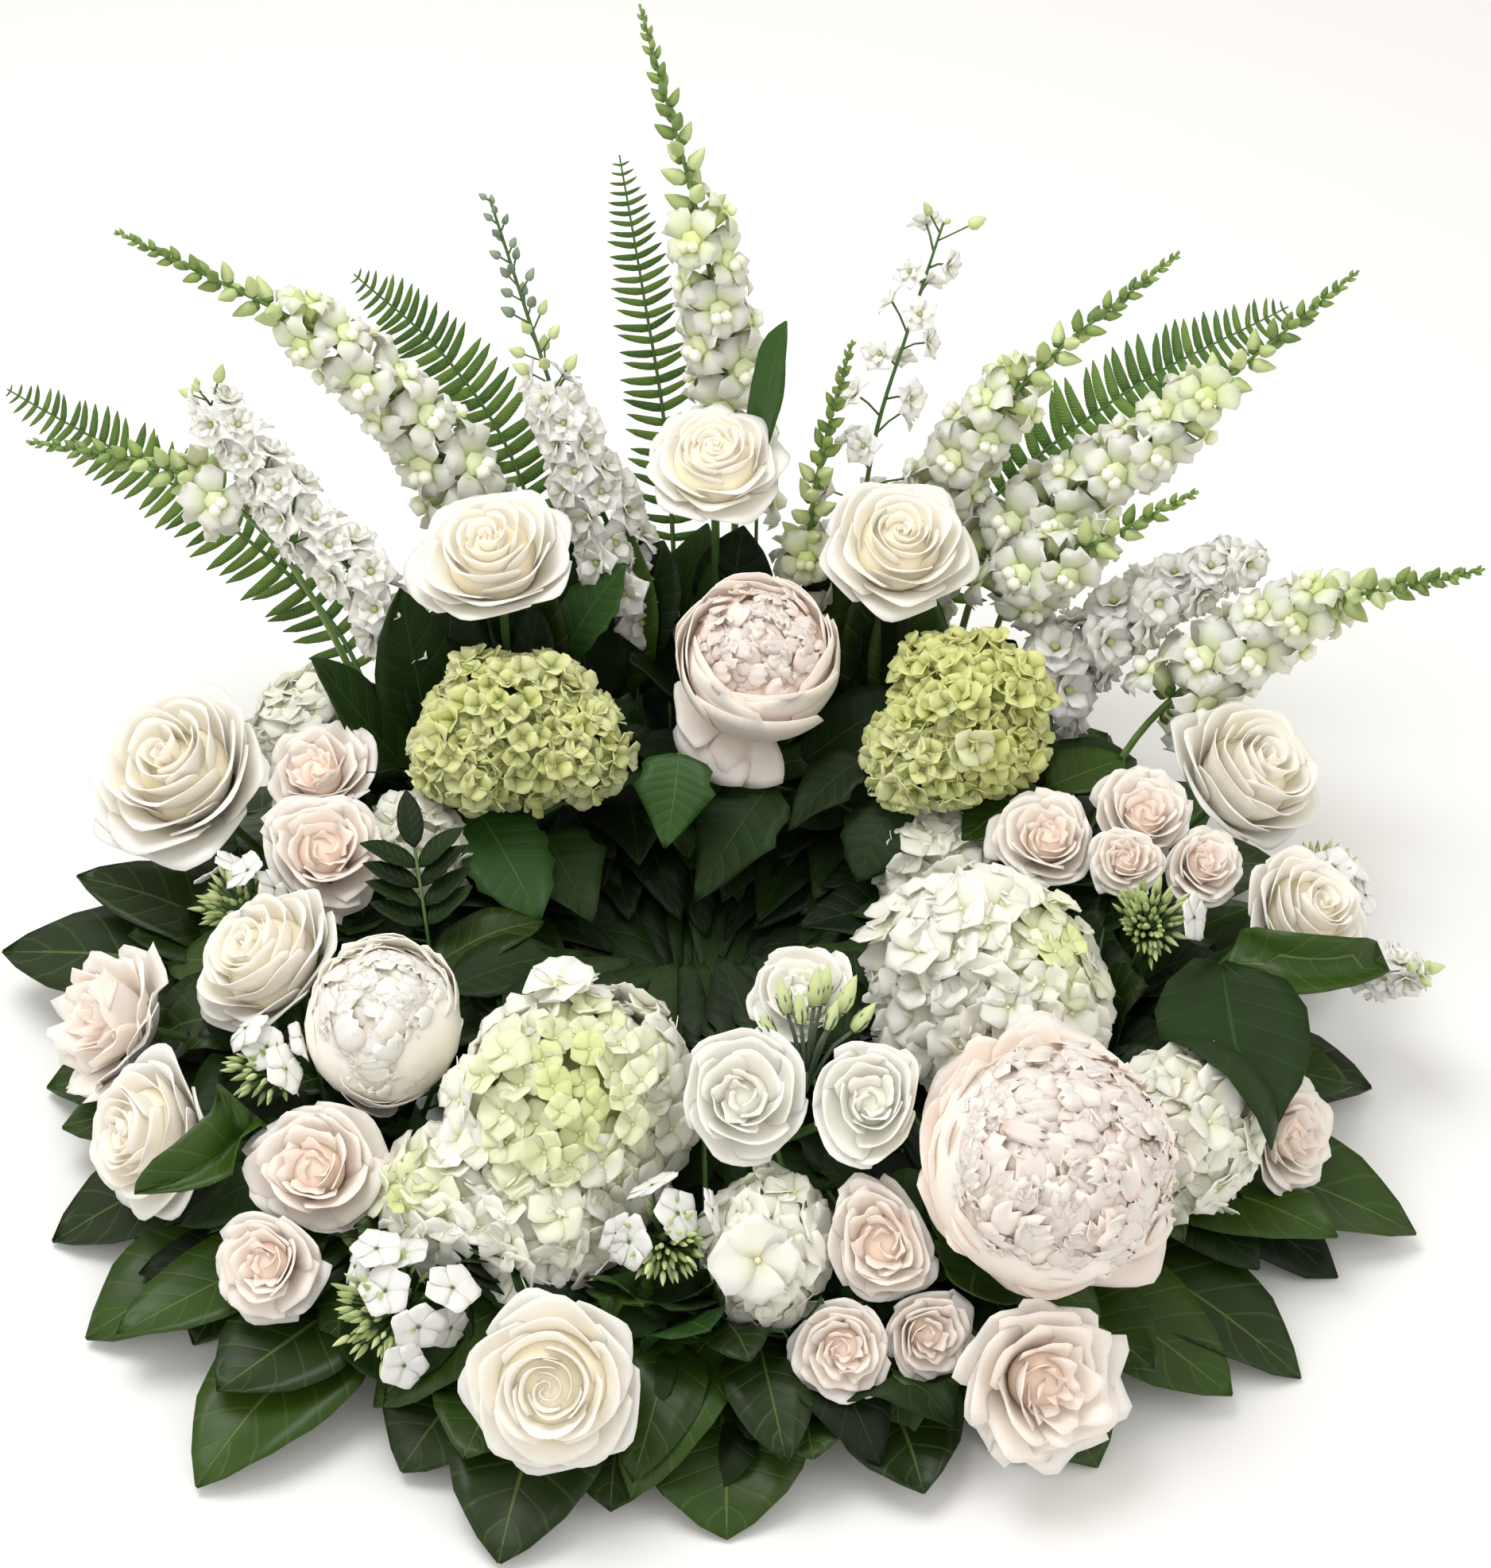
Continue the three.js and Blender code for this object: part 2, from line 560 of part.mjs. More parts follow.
// A domed head of florets round a smaller core
const DOME_UNDERSIDE = 0.45;
const DOME_TOP = 0.9;
const FLORET_SEAT = 0.93;
const HEAD_BACK = 0.3;
const FLORET_SEED = 4711;
const LARGE_HEAD = 10;
const LARGE_CORE = 0.76;
const SMALL_CORE = 0.86;
const LARGE_DEPTH = 0.42;
const SMALL_DEPTH = 0.5;
function floretHead(head, petals, coverage, lowest, turn) {
  seed = FLORET_SEED;
  const large = head.florets > LARGE_HEAD;
  const core = large ? new THREE.IcosahedronGeometry(head.radius * LARGE_CORE, 0)
    : new THREE.OctahedronGeometry(head.radius * SMALL_CORE, 0);
  const corners = [];
  const indexes = new Map();
  const position = core.getAttribute('position');
  const faces = [];
  for (let index = 0; index < position.count; index += 1) {
    const corner = new THREE.Vector3().fromBufferAttribute(position, index);
    const key = corner.toArray().map((value) => value.toFixed(2)).join();
    if (!indexes.has(key)) {
      indexes.set(key, corners.length);
      corner.z *= corner.z < 0 ? DOME_UNDERSIDE : DOME_TOP;
      corners.push(corner.multiplyScalar(draw(0.94, 1.02)));
    }
    if (index % 3 === 0) {
      faces.push([]);
    }
    faces[faces.length - 1].push(indexes.get(key));
  }
  const parts = [solidFrom(corners, faces)];
  const spread = head.radius * coverage * Math.sqrt((1 - lowest) * 2 / head.florets);
  spreadDirections(head.florets, lowest).forEach((direction) => {
    const seat = direction.clone().multiplyScalar(head.radius * FLORET_SEAT);
    seat.z *= seat.z < 0 ? DOME_UNDERSIDE : DOME_TOP;
    const depth = head.radius * (large ? LARGE_DEPTH : SMALL_DEPTH);
    const shape = floret(spread * draw(0.92, 1.06), depth, petals);
    parts.push(placed(shape, pose(seat.toArray(), direction.toArray(), draw(0, Math.PI))));
  });
  const dome = placed(joined(parts), pose(head.at, head.faces, THREE.MathUtils.degToRad(turn)));
  return pressed(dome, head);
}

for (const [name, head] of Object.entries(HYDRANGEAS)) {
  const colour = name.includes('lime') ? COLOURS.lime : COLOURS.white;
  const dome = floretHead(head, 4, 0.98, -0.35, HEAD_TURNS[name]);
  addPiece(name, dome.add(stem(stemInto(head, head.radius * HEAD_BACK))), colour);
}
for (const [name, heads] of Object.entries(PHLOX)) {
  const bunches = heads.map((head) => floretHead(head, 5, 0.86, 0.1, HEAD_TURNS[name]));
  addPiece(name, branching(heads, bunches, HEAD_BACK), COLOURS.white);
}

// A pointed bud, with its lower point seated in a stem
function bud(from, tip, radius) {
  const along = tip.clone().sub(from);
  const ring = [];
  const across = new THREE.Vector3(along.y, -along.x, 0.1).normalize();
  const upward = along.clone().cross(across).normalize();
  for (let side = 0; side < 4; side += 1) {
    const angle = (side / 4) * Math.PI * 2;
    ring.push(from.clone().addScaledVector(along, 0.6)
      .addScaledVector(across, radius * Math.cos(angle))
      .addScaledVector(upward, radius * Math.sin(angle)));
  }
  return lofted(from, [ring], tip);
}

const lisianthusBlooms = LISIANTHUS.map((head) => bloom(head, ROSE_SIDES, ROSE_PETALS, SPRAY_PROFILE));
const BUD_RADIUS = 4.5;
const BUD_STALK_RADIUS = 2.4;
const budStalk = point(LISIANTHUS_BUDS.from);
const lisianthusBuds = LISIANTHUS_BUDS.tips.map((tip) => bud(budStalk, point(tip), BUD_RADIUS));
const lisianthusMain = stemInto(LISIANTHUS[0], LISIANTHUS[0].radius * SPRAY_BACK);
const lisianthusFork = lisianthusMain[1].clone().lerp(lisianthusMain[2], FORK_SHARE);
const stalkPath = [lisianthusFork, budStalk, budStalk.clone().add(new THREE.Vector3(0, 4, 9))];
lisianthusBuds.push(tube(stalkPath, stalkPath.map(() => BUD_STALK_RADIUS)));
const lisianthusHeads = [...lisianthusBlooms, ...lisianthusBuds];
addPiece('lisianthus', branching(LISIANTHUS, lisianthusHeads, SPRAY_BACK), COLOURS.white);

// The smooth run of a tall stem, from its socket in the foam to its tip
function spikeCurve(list) {
  const points = list.map(point);
  points[0].z = STEM_END_HEIGHT;
  return new THREE.CatmullRomCurve3(points, false, 'centripetal');
}

// The hole of a tall stem: square, and wide enough for a round stem
function spikeHole(curve, radius) {
  const start = curve.getPointAt(0);
  const above = curve.getPointAt(0.2);
  const deeper = start.clone().addScaledVector(above.clone().sub(start).normalize(), -HOLE_EXTRA_DEPTH);
  const wide = radius + SPIKE_HOLE_WIDER;
  stemHoles.push(tube([above, deeper], [wide, wide], SPIKE_HOLE_SIDES));
}

// A tall stem with whorls of flowers: lobed lips standing out, with the stem showing small between them
const WHORL_FLOWERS = 3;
function whorledSpike(list, spec, start) {
  const curve = spikeCurve(list);
  spikeHole(curve, spec.stem);
  const rings = [];
  let across = new THREE.Vector3(1, 0.3, 0);
  const addRing = (place, shape) => {
    const centre = curve.getPointAt(place);
    const along = curve.getTangentAt(place);
    across = across.clone().addScaledVector(along, -across.dot(along)).normalize();
    const upward = along.clone().cross(across);
    const ring = [];
    for (let side = 0; side < spec.sides; side += 1) {
      const { radius, rise, turn } = shape(side);
      const angle = ((side + turn) / spec.sides) * Math.PI * 2;
      ring.push(centre.clone()
        .addScaledVector(across, radius * Math.cos(angle))
        .addScaledVector(upward, radius * Math.sin(angle))
        .addScaledVector(along, rise));
    }
    rings.push(ring);
  };
  const plain = (radius) => () => ({ radius, rise: 0, turn: 0 });
  addRing(0, plain(spec.stem));
  addRing(0.16, plain(spec.stem));
  addRing(0.3, plain(spec.stem));
  const perFlower = spec.sides / WHORL_FLOWERS;
  for (let whorl = 0; whorl < spec.whorls; whorl += 1) {
    const share = whorl / (spec.whorls - 1);
    const place = start + (0.93 - start) * share;
    const open = share < spec.open;
    const size = open ? THREE.MathUtils.lerp(spec.large, spec.small, share / spec.open)
      : THREE.MathUtils.lerp(spec.bud, spec.bud * 0.5, (share - spec.open) / (1 - spec.open));
    const neck = spec.stem * (1.1 - 0.6 * share);
    const turn = (whorl % 2) * perFlower / 2;
    const notch = open ? spec.notch : 0.55;
    addRing(place, plain(neck));
    addRing(place + spec.pitch, (side) => {
      const tip = side % perFlower !== 0;
      const radius = size * (tip ? draw(0.88, 1.08) : notch);
      return { radius, rise: size * (tip ? draw(-0.1, 0.25) : -0.2), turn };
    });
  }
  addRing(0.985, plain(spec.stem * 0.4));
  return lofted(curve.getPointAt(0), rings, curve.getPointAt(1));
}

// Where the flowers start on the stems that show only their tops
const SPIKE_START = 0.42;
const SPIKE_STARTS = { snapdragon_right_low: 0.66, snapdragon_far_left: 0.64, delphinium_far_right: 0.78 };
const SNAPDRAGON_SPEC = {
  sides: 6, stem: 2.8, whorls: 9, open: 0.62, large: 29, small: 17, bud: 9, pitch: 0.035, notch: 0.5,
};
const DELPHINIUM_SPEC = {
  sides: 6, stem: 2.3, whorls: 7, open: 0.7, large: 27, small: 18, bud: 10, pitch: 0.03, notch: 0.3,
};
const STOCK_SPEC = {
  sides: 9, stem: 3, whorls: 6, open: 0.85, large: 32, small: 24, bud: 12, pitch: 0.04, notch: 0.5,
};
for (const [name, list] of Object.entries(SNAPDRAGONS)) {
  addPiece(name, whorledSpike(list, SNAPDRAGON_SPEC, SPIKE_STARTS[name] ?? SPIKE_START), COLOURS.spike);
}
for (const [name, list] of Object.entries(DELPHINIUMS)) {
  addPiece(name, whorledSpike(list, DELPHINIUM_SPEC, SPIKE_STARTS[name] ?? SPIKE_START), COLOURS.white);
}
addPiece('stock', whorledSpike(STOCK, STOCK_SPEC, SPIKE_START), COLOURS.white);

// A thin blade: corners on its middle sheet, given the same triangles on both faces
function sheetSolid(corners, faces, upward) {
  const half = upward.clone().multiplyScalar(LEAF_THICKNESS / 2);
  const points = [...corners.map((corner) => corner.clone().add(half)),
    ...corners.map((corner) => corner.clone().sub(half))];
  const all = [];
  const edges = new Map();
  faces.forEach((face) => {
    all.push(face, [face[0] + corners.length, face[2] + corners.length, face[1] + corners.length]);
    face.forEach((start, index) => {
      const end = face[(index + 1) % 3];
      if (!edges.delete(`${end},${start}`)) {
        edges.set(`${start},${end}`, [start, end]);
      }
    });
  });
  edges.forEach(([start, end]) => {
    all.push([start, start + corners.length, end + corners.length], [start, end + corners.length, end]);
  });
  return solidFrom(points, all);
}

function blade(corners, faces, upward) {
  const sheet = sheetSolid(corners, faces, upward);
  return sheet.volume() > 0 ? sheet : sheetSolid(corners, faces.map(([a, b, c]) => [a, c, b]), upward);
}

// Push a leaf's sheet out of the room that the heads take
const LEAF_TUCK = 0.25;
function clearOfHeads(corner, above) {
  balls.forEach((ball) => {
    const offset = corner.clone().sub(ball.centre);
    const room = ball.radius + LEAF_ROOM;
    if (offset.length() < room) {
      offset.z = above ? Math.max(offset.z, room * LEAF_TUCK) : Math.min(offset.z, -room * LEAF_TUCK);
      corner.copy(ball.centre).addScaledVector(offset.normalize(), room);
    }
  });
  corner.z = Math.max(corner.z, LEAF_FLOOR);
  return corner;
}

// A salal leaf: pointed oval, folded along its midrib, from its seat on a twig to its tip
const LEAF_STATIONS = [[0, 0.07], [0.36, 1], [0.72, 0.78]];
const LEAF_FOLD = 0.16;
function salalLeaf(base, tip, width, sag, above = false) {
  const along = tip.clone().sub(base);
  const side = new THREE.Vector3(-along.y, along.x, 0).normalize();
  const upward = along.clone().cross(side).normalize();
  const corners = [];
  LEAF_STATIONS.forEach(([share, spread]) => {
    const rib = base.clone().addScaledVector(along, share);
    rib.z += along.length() * sag * Math.sin(Math.PI * share);
    const lift = width * LEAF_FOLD * spread * 0.5;
    corners.push(rib.clone().addScaledVector(side, width * 0.5 * spread).addScaledVector(upward, lift));
    corners.push(rib);
    corners.push(rib.clone().addScaledVector(side, -width * 0.5 * spread).addScaledVector(upward, lift));
  });
  corners.push(tip.clone());
  const cleared = corners.map((corner, index) => (index < 3 ? corner : clearOfHeads(corner, above)));
  const faces = [];
  for (let row = 0; row < LEAF_STATIONS.length - 1; row += 1) {
    for (let column = 0; column < 2; column += 1) {
      const start = row * 3 + column;
      faces.push([start, start + 1, start + 4], [start, start + 4, start + 3]);
    }
  }
  const last = (LEAF_STATIONS.length - 1) * 3;
  faces.push([last, last + 1, last + 3], [last + 1, last + 2, last + 3]);
  return blade(cleared, faces, new THREE.Vector3(0, 0, 1));
}

// A twig whose first point is in the foam, and its hole
function twigInFoam(path) {
  const deeper = path[0].clone().add(path[0].clone().sub(path[1]).normalize());
  const holePath = [deeper, path[1], path[2]];
  stemHoles.push(tube(holePath, holePath.map(() => TWIG_RADIUS + HOLE_CLEARANCE)));
  return tube(path, path.map(() => TWIG_RADIUS));
}

// The place at a share of the way along a row of points, from the second point on
function alongTwig(path, share) {
  const steps = path.length - 2;
  const step = Math.min(Math.floor(share * steps), steps - 1);
  return path[step + 1].clone().lerp(path[step + 2], share * steps - step);
}

// One branch of the collar: a twig from the foam round the outside, with leaves lying outwards in two layers
const SPRAY_SPAN = 360 / COLLAR_LEAVES.length;
const SPRAY_LENGTH = SPRAY_SPAN - 12;
const TWIG_ENDS = [0.02, 0.98];
const LEAF_SAG = 0.06;
const BRANCH_LEAF_SAG = 0.04;
function collarSpray(index) {
  const socket = index * SPRAY_SPAN + 4;
  const first = socket + 2;
  const twig = [polar(FOAM_OUTER - 8.5, socket, COLLAR_TWIG_HEIGHT + 2)];
  twig.push(polar(COLLAR_TWIG_RADIUS - 4, first, COLLAR_TWIG_HEIGHT));
  for (let step = 1; step <= 2; step += 1) {
    twig.push(polar(COLLAR_TWIG_RADIUS, first + step * SPRAY_LENGTH / 2, COLLAR_TWIG_HEIGHT));
  }
  const parts = [twigInFoam(twig)];
  COLLAR_LEAVES[index].forEach(([angle, reach, height, width]) => {
    const share = THREE.MathUtils.clamp((angle - first) / SPRAY_LENGTH, ...TWIG_ENDS);
    parts.push(salalLeaf(alongTwig(twig, share), polar(reach, angle, height), width, LEAF_SAG));
  });
  (EXTRA_BRANCHES[index] ?? []).forEach(({ path, leaves }) => {
    const branch = path.map(point);
    parts.push(tube(branch, branch.map(() => TWIG_RADIUS)));
    leaves.forEach(({ tip, width }) => {
      parts.push(salalLeaf(branch[branch.length - 1], point(tip), width, BRANCH_LEAF_SAG, true));
    });
  });
  return joined(parts);
}
for (let index = 0; index < COLLAR_LEAVES.length; index += 1) {
  addPiece(`salal_collar_${index + 1}`, collarSpray(index), COLOURS.leaf, LEAF_ROUGHNESS);
}

// Branches inside the opening, split round it, each from its socket to its tip with leaves hanging inwards:
// angle round the ring, reach of the leaf's tip, its height, width of the leaf
const INNER_TWIG_RADIUS = 164;
const INNER_TWIG_HEIGHT = 62;
const INNER_SOCKET_HEIGHT = 40;
const INNER_SOCKET_TURN = 6;
const INNER_BEND_TURN = 4;
const INNER_STEPS = 3;
const INNER_BRANCHES = {
  salal_inner_left: {
    from: 152,
    to: 108,
    leaves: [[152, 118, 22, 46], [142, 116, 84, 44], [132, 112, 12, 50], [118, 110, 30, 48],
      [110, 112, 96, 46]],
  },
  salal_inner_right: {
    from: 44,
    to: 99,
    leaves: [[97, 104, 12, 52], [90, 106, 88, 46], [76, 104, 24, 50], [66, 112, 82, 44],
      [54, 116, 12, 48], [44, 126, 70, 42]],
  },
};
function innerBranch({ from, to, leaves }) {
  const outward = Math.sign(from - to);
  const socket = from + INNER_SOCKET_TURN * outward;
  const bend = from + INNER_BEND_TURN * outward;
  const twig = [polar(FOAM_INNER + SOCKET_INSET, socket, INNER_SOCKET_HEIGHT)];
  twig.push(polar(INNER_TWIG_RADIUS + 4, bend, INNER_TWIG_HEIGHT));
  for (let step = 0; step <= INNER_STEPS; step += 1) {
    const angle = THREE.MathUtils.lerp(from, to, step / INNER_STEPS);
    twig.push(polar(INNER_TWIG_RADIUS, angle, INNER_TWIG_HEIGHT));
  }
  const parts = [twigInFoam(twig)];
  leaves.forEach(([angle, reach, height, width]) => {
    const share = THREE.MathUtils.clamp((bend - angle) / (bend - to), ...TWIG_ENDS);
    parts.push(salalLeaf(alongTwig(twig, share), polar(reach, angle, height), width, 0));
  });
  return joined(parts);
}
for (const [name, branch] of Object.entries(INNER_BRANCHES)) {
  addPiece(name, innerBranch(branch), COLOURS.leaf, LEAF_ROUGHNESS);
}

// A fern frond: leaflets cut to the rib in one arched blade
const FERN_STEPS = 12;
const FERN_BARE = 0.34;
const FERN_FACING = new THREE.Vector3(0, -0.6, 0.8);
function fern(list, half) {
  const curve = spikeCurve(list);
  const pitch = curve.getLength() * (1 - FERN_BARE) / FERN_STEPS;
  const corners = [];
  const faces = [];
  for (let step = 0; step <= FERN_STEPS; step += 1) {
    const place = FERN_BARE + (1 - FERN_BARE) * (step / FERN_STEPS);
    const centre = curve.getPointAt(place);
    const along = curve.getTangentAt(place);
    const side = along.clone().cross(FERN_FACING).normalize();
    const share = step / FERN_STEPS;
    const rib = 1.6 * (1 - share) + 0.7;
    corners.push(centre.clone().addScaledVector(side, -rib), centre.clone().addScaledVector(side, rib));
    if (step < FERN_STEPS) {
      const length = half * Math.min(1, 0.75 + share * 1.2) * Math.sqrt(Math.max(1 - share ** 2.2, 0.05));
      const tip = centre.clone().addScaledVector(along, pitch * 1.1);
      corners.push(tip.clone().addScaledVector(side, -length), tip.clone().addScaledVector(side, length));
      const start = step * 4;
      faces.push([start, start + 1, start + 5], [start, start + 5, start + 4]);
      faces.push([start, start + 4, start + 2], [start + 1, start + 3, start + 5]);
    }
  }
  spikeHole(curve, FERN_STALK_RADIUS);
  const stalk = [0, 0.12, 0.24, FERN_BARE + 0.015].map((place) => curve.getPointAt(place));
  return blade(corners, faces, FERN_FACING).add(tube(stalk, stalk.map(() => FERN_STALK_RADIUS)));
}
for (const [name, frond] of Object.entries(FERNS)) {
  addPiece(name, fern(frond.spine, frond.half), COLOURS.fern);
}

// The tray and the foam ring, turned round the middle
function turned(outline) {
  const profile = outline.map(([radius, height]) => new THREE.Vector2(radius, height));
  const rings = profile.map((corner) => {
    const ring = [];
    for (let side = 0; side < RING_SEGMENTS; side += 1) {
      const angle = (side / RING_SEGMENTS) * Math.PI * 2;
      ring.push(new THREE.Vector3(corner.x * Math.cos(angle), corner.x * Math.sin(angle), corner.y));
    }
    return ring;
  });
  const faces = [];
  const at = (ring, side) => (ring % rings.length) * RING_SEGMENTS + (side % RING_SEGMENTS);
  for (let ring = 0; ring < rings.length; ring += 1) {
    for (let side = 0; side < RING_SEGMENTS; side += 1) {
      faces.push([at(ring, side), at(ring, side + 1), at(ring + 1, side + 1)]);
      faces.push([at(ring, side), at(ring + 1, side + 1), at(ring + 1, side)]);
    }
  }
  return solidFrom(rings.flat(), faces);
}

const trayInner = FOAM_INNER - SEAT_GAP;
const trayOuter = FOAM_OUTER + SEAT_GAP;
const tray = turned([
  [trayInner - TRAY_WALL, 0],
  [trayOuter + TRAY_WALL, 0],
  [trayOuter + TRAY_WALL, TRAY_HEIGHT],
  [trayOuter, TRAY_HEIGHT],
  [trayOuter, TRAY_FLOOR],
  [trayInner, TRAY_FLOOR],
  [trayInner, TRAY_HEIGHT],
  [trayInner - TRAY_WALL, TRAY_HEIGHT],
]);
addPiece('ring_tray', tray, COLOURS.tray, TRAY_ROUGHNESS);

const foam = turned([
  [FOAM_INNER, FOAM_BOTTOM],
  [FOAM_OUTER, FOAM_BOTTOM],
  [FOAM_OUTER, FOAM_TOP - FOAM_EDGE],
  [FOAM_OUTER - FOAM_EDGE, FOAM_TOP],
  [FOAM_INNER + FOAM_EDGE, FOAM_TOP],
  [FOAM_INNER, FOAM_TOP - FOAM_EDGE],
]);
addPiece('foam_ring', foam.subtract(joined(stemHoles)), COLOURS.foam, FOAM_ROUGHNESS);

export default group;
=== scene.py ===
# %% [markdown]
# # A cremation wreath in cells
# A ring of wet foam in a shallow tray lies on a table, and an urn would stand in the hole in its middle.
# White and blush flowers are pressed into the foam all round. A fan of tall spikes and sword ferns rises
# behind, and a collar of glossy salal leaves spreads on the table. The construction model gives each stem
# its place, and every cell below dresses some of those stems with petals, florets or leaves.

# %% Load the frame
import math
from collections import namedtuple

import bpy
import numpy as np
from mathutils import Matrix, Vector


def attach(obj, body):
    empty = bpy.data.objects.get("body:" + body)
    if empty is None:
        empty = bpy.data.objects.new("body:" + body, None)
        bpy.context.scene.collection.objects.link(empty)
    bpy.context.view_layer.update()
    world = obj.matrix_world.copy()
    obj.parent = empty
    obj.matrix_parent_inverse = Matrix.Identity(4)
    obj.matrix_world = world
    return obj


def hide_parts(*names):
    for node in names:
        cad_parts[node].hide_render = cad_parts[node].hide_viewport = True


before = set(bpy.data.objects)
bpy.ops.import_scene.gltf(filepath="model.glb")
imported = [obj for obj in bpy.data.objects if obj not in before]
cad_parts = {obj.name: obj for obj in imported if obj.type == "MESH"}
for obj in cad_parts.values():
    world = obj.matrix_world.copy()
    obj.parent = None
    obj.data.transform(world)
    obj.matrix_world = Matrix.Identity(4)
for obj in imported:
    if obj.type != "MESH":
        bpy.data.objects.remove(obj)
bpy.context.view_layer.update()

DRAW = np.random.default_rng(1907)
draw = DRAW.uniform
ANY_ANGLE = 6.28

# %% [markdown]
# ## The camera comes first
# The photograph looks down on the wreath from in front, 42 degrees above the table. A long lens from about
# 1.9 m keeps the near and far flowers at nearly the same scale. The frame is 1876 by 1973 pixels, so the
# sensor's 36 mm lie along its height.

# %% Camera
ELEVATION = math.radians(42.0)
AIM = Vector((0.027, 0.228, 0.0))
DISTANCE = 1.870
FOCAL_PIXELS = 3655.0
FRAME_HEIGHT = 1973.0
SENSOR = 36.0
camera_data = bpy.data.cameras.new("camera")
camera_data.lens = FOCAL_PIXELS * SENSOR / FRAME_HEIGHT
camera_data.sensor_width = SENSOR
camera = bpy.data.objects.new("camera", camera_data)
bpy.context.scene.collection.objects.link(camera)
camera.location = AIM + DISTANCE * Vector((0.0, -math.cos(ELEVATION), math.sin(ELEVATION)))
camera.rotation_euler = (math.pi / 2 - ELEVATION, 0.0, 0.0)
bpy.context.scene.camera = camera
print("lens", round(camera_data.lens, 1), "mm")

# %% [markdown]
# ## Soft light and a pale floor
# The picture has the flat light of a bright room: a pale surround, one wide light overhead and to the left,
# and a weaker one from each side. A wide light gives the petals soft edges of shade and puts long sheens
# on the waxy leaves.

# %% Lights and floor
def area_light(name, place, aim, size, power):
    data = bpy.data.lights.new(name, "AREA")
    data.shape = "DISK"
    data.size = size
    data.energy = power
    lamp = bpy.data.objects.new(name, data)
    bpy.context.scene.collection.objects.link(lamp)
    lamp.location = place
    lamp.rotation_euler = (Vector(aim) - Vector(place)).to_track_quat("-Z", "Y").to_euler()


area_light("overhead light", (-0.5, 0.2, 1.9), (0.0, 0.05, 0.1), 1.1, 18.5)
area_light("side light", (1.5, -0.9, 1.3), (0.0, 0.0, 0.1), 1.2, 5.0)
area_light("left fill", (-1.5, -1.1, 0.9), (-0.1, 0.0, 0.1), 1.2, 3.5)
world = bpy.data.worlds.new("pale room")
bpy.context.scene.world = world
world.use_nodes = True
world.node_tree.nodes["Background"].inputs["Color"].default_value = (1.0, 0.97, 0.915, 1.0)
world.node_tree.nodes["Background"].inputs["Strength"].default_value = 0.86
bpy.context.scene.view_settings.view_transform = "Standard"
print("lights", len(bpy.data.lights))

# %% [markdown]
# ## Materials
# A petal is a thin wet film full of air, so it is matt, nearly white and lets a little light through. Its
# depth of colour lies at its foot, and fine veins run from foot to lip. A salal leaf is thick and waxed:
# dark, glossy on top and paler below. Each material is made by the same small functions: one turns an sRGB
# hex value to linear, one adds a node with its settings and links.

# %% Colour and node helpers
def linear(hex_value):
    channels = [int(hex_value[index:index + 2], 16) / 255 for index in (0, 2, 4)]
    return tuple(c / 12.92 if c <= 0.04045 else ((c + 0.055) / 1.055) ** 2.4 for c in channels) + (1.0,)


def node(tree, kind, settings=None, links=None):
    """Adds a node: settings are attributes or input values by name, links are inputs by name or number"""
    made = tree.nodes.new(kind)
    for key, value in (settings or {}).items():
        if hasattr(made, key):
            setattr(made, key, value)
        else:
            made.inputs[key].default_value = value
    for key, socket in (links or {}).items():
        tree.links.new(socket, made.inputs[key])
    return made


def new_material(name):
    material = bpy.data.materials.new(name)
    material.use_nodes = True
    shader = material.node_tree.nodes["Principled BSDF"]
    return material, material.node_tree, shader


def blend_colours(tree, share, first, second):
    """A mix of two colours, each a socket or an sRGB hex value"""
    mixer = node(tree, "ShaderNodeMix", {"data_type": "RGBA"}, {0: share})
    for number, colour in ((6, first), (7, second)):
        if isinstance(colour, str):
            mixer.inputs[number].default_value = linear(colour)
        else:
            tree.links.new(colour, mixer.inputs[number])
    return mixer.outputs[2]


def ramp(tree, value, low, high):
    """0 below low, 1 above high, smooth between"""
    return node(tree, "ShaderNodeMapRange",
                {"interpolation_type": "SMOOTHSTEP", "From Min": low, "From Max": high},
                {"Value": value}).outputs["Result"]


def maths(tree, operation, first, second=0.0):
    made = node(tree, "ShaderNodeMath", {"operation": operation})
    for number, value in ((0, first), (1, second)):
        if isinstance(value, (int, float)):
            made.inputs[number].default_value = value
        else:
            tree.links.new(value, made.inputs[number])
    return made.outputs[0]


def petal_place(tree):
    """How far a point lies across its petal or leaf, and how far from the foot"""
    uv = node(tree, "ShaderNodeUVMap", {"uv_map": "petal"})
    parts = node(tree, "ShaderNodeSeparateXYZ", {}, {0: uv.outputs[0]})
    return parts.outputs["X"], parts.outputs["Y"]


def petal_tone(tree):
    """The tone that a petal or leaf was given when it was placed"""
    return node(tree, "ShaderNodeAttribute", {"attribute_name": "tone"}).outputs["Fac"]


def noise(tree, scale, detail, vector=None):
    """Noise over the whole piece, or over another vector"""
    if vector is None:
        vector = node(tree, "ShaderNodeTexCoord").outputs["Object"]
    made = node(tree, "ShaderNodeTexNoise", {"Scale": scale, "Detail": detail}, {"Vector": vector})
    return made.outputs["Fac"]


def dress(tree, shader, colour, roughness, height, strength, distance):
    """Gives a shader its colour and roughness, and a bump from a height"""
    tree.links.new(colour, shader.inputs["Base Color"])
    bump = node(tree, "ShaderNodeBump", {"Strength": strength, "Distance": distance}, {"Height": height})
    tree.links.new(bump.outputs[0], shader.inputs["Normal"])
    shader.inputs["Roughness"].default_value = roughness


print("linear white", linear("ffffff"))

# %% [markdown]
# ## Petal material
# Three things colour a petal: how far a point lies from the foot (its V), the tone that each petal was given
# when it was placed, and faint veins that fan along it. Real veins are 0.3 to 0.5 mm apart. They are drawn
# 1 mm apart so that they show.

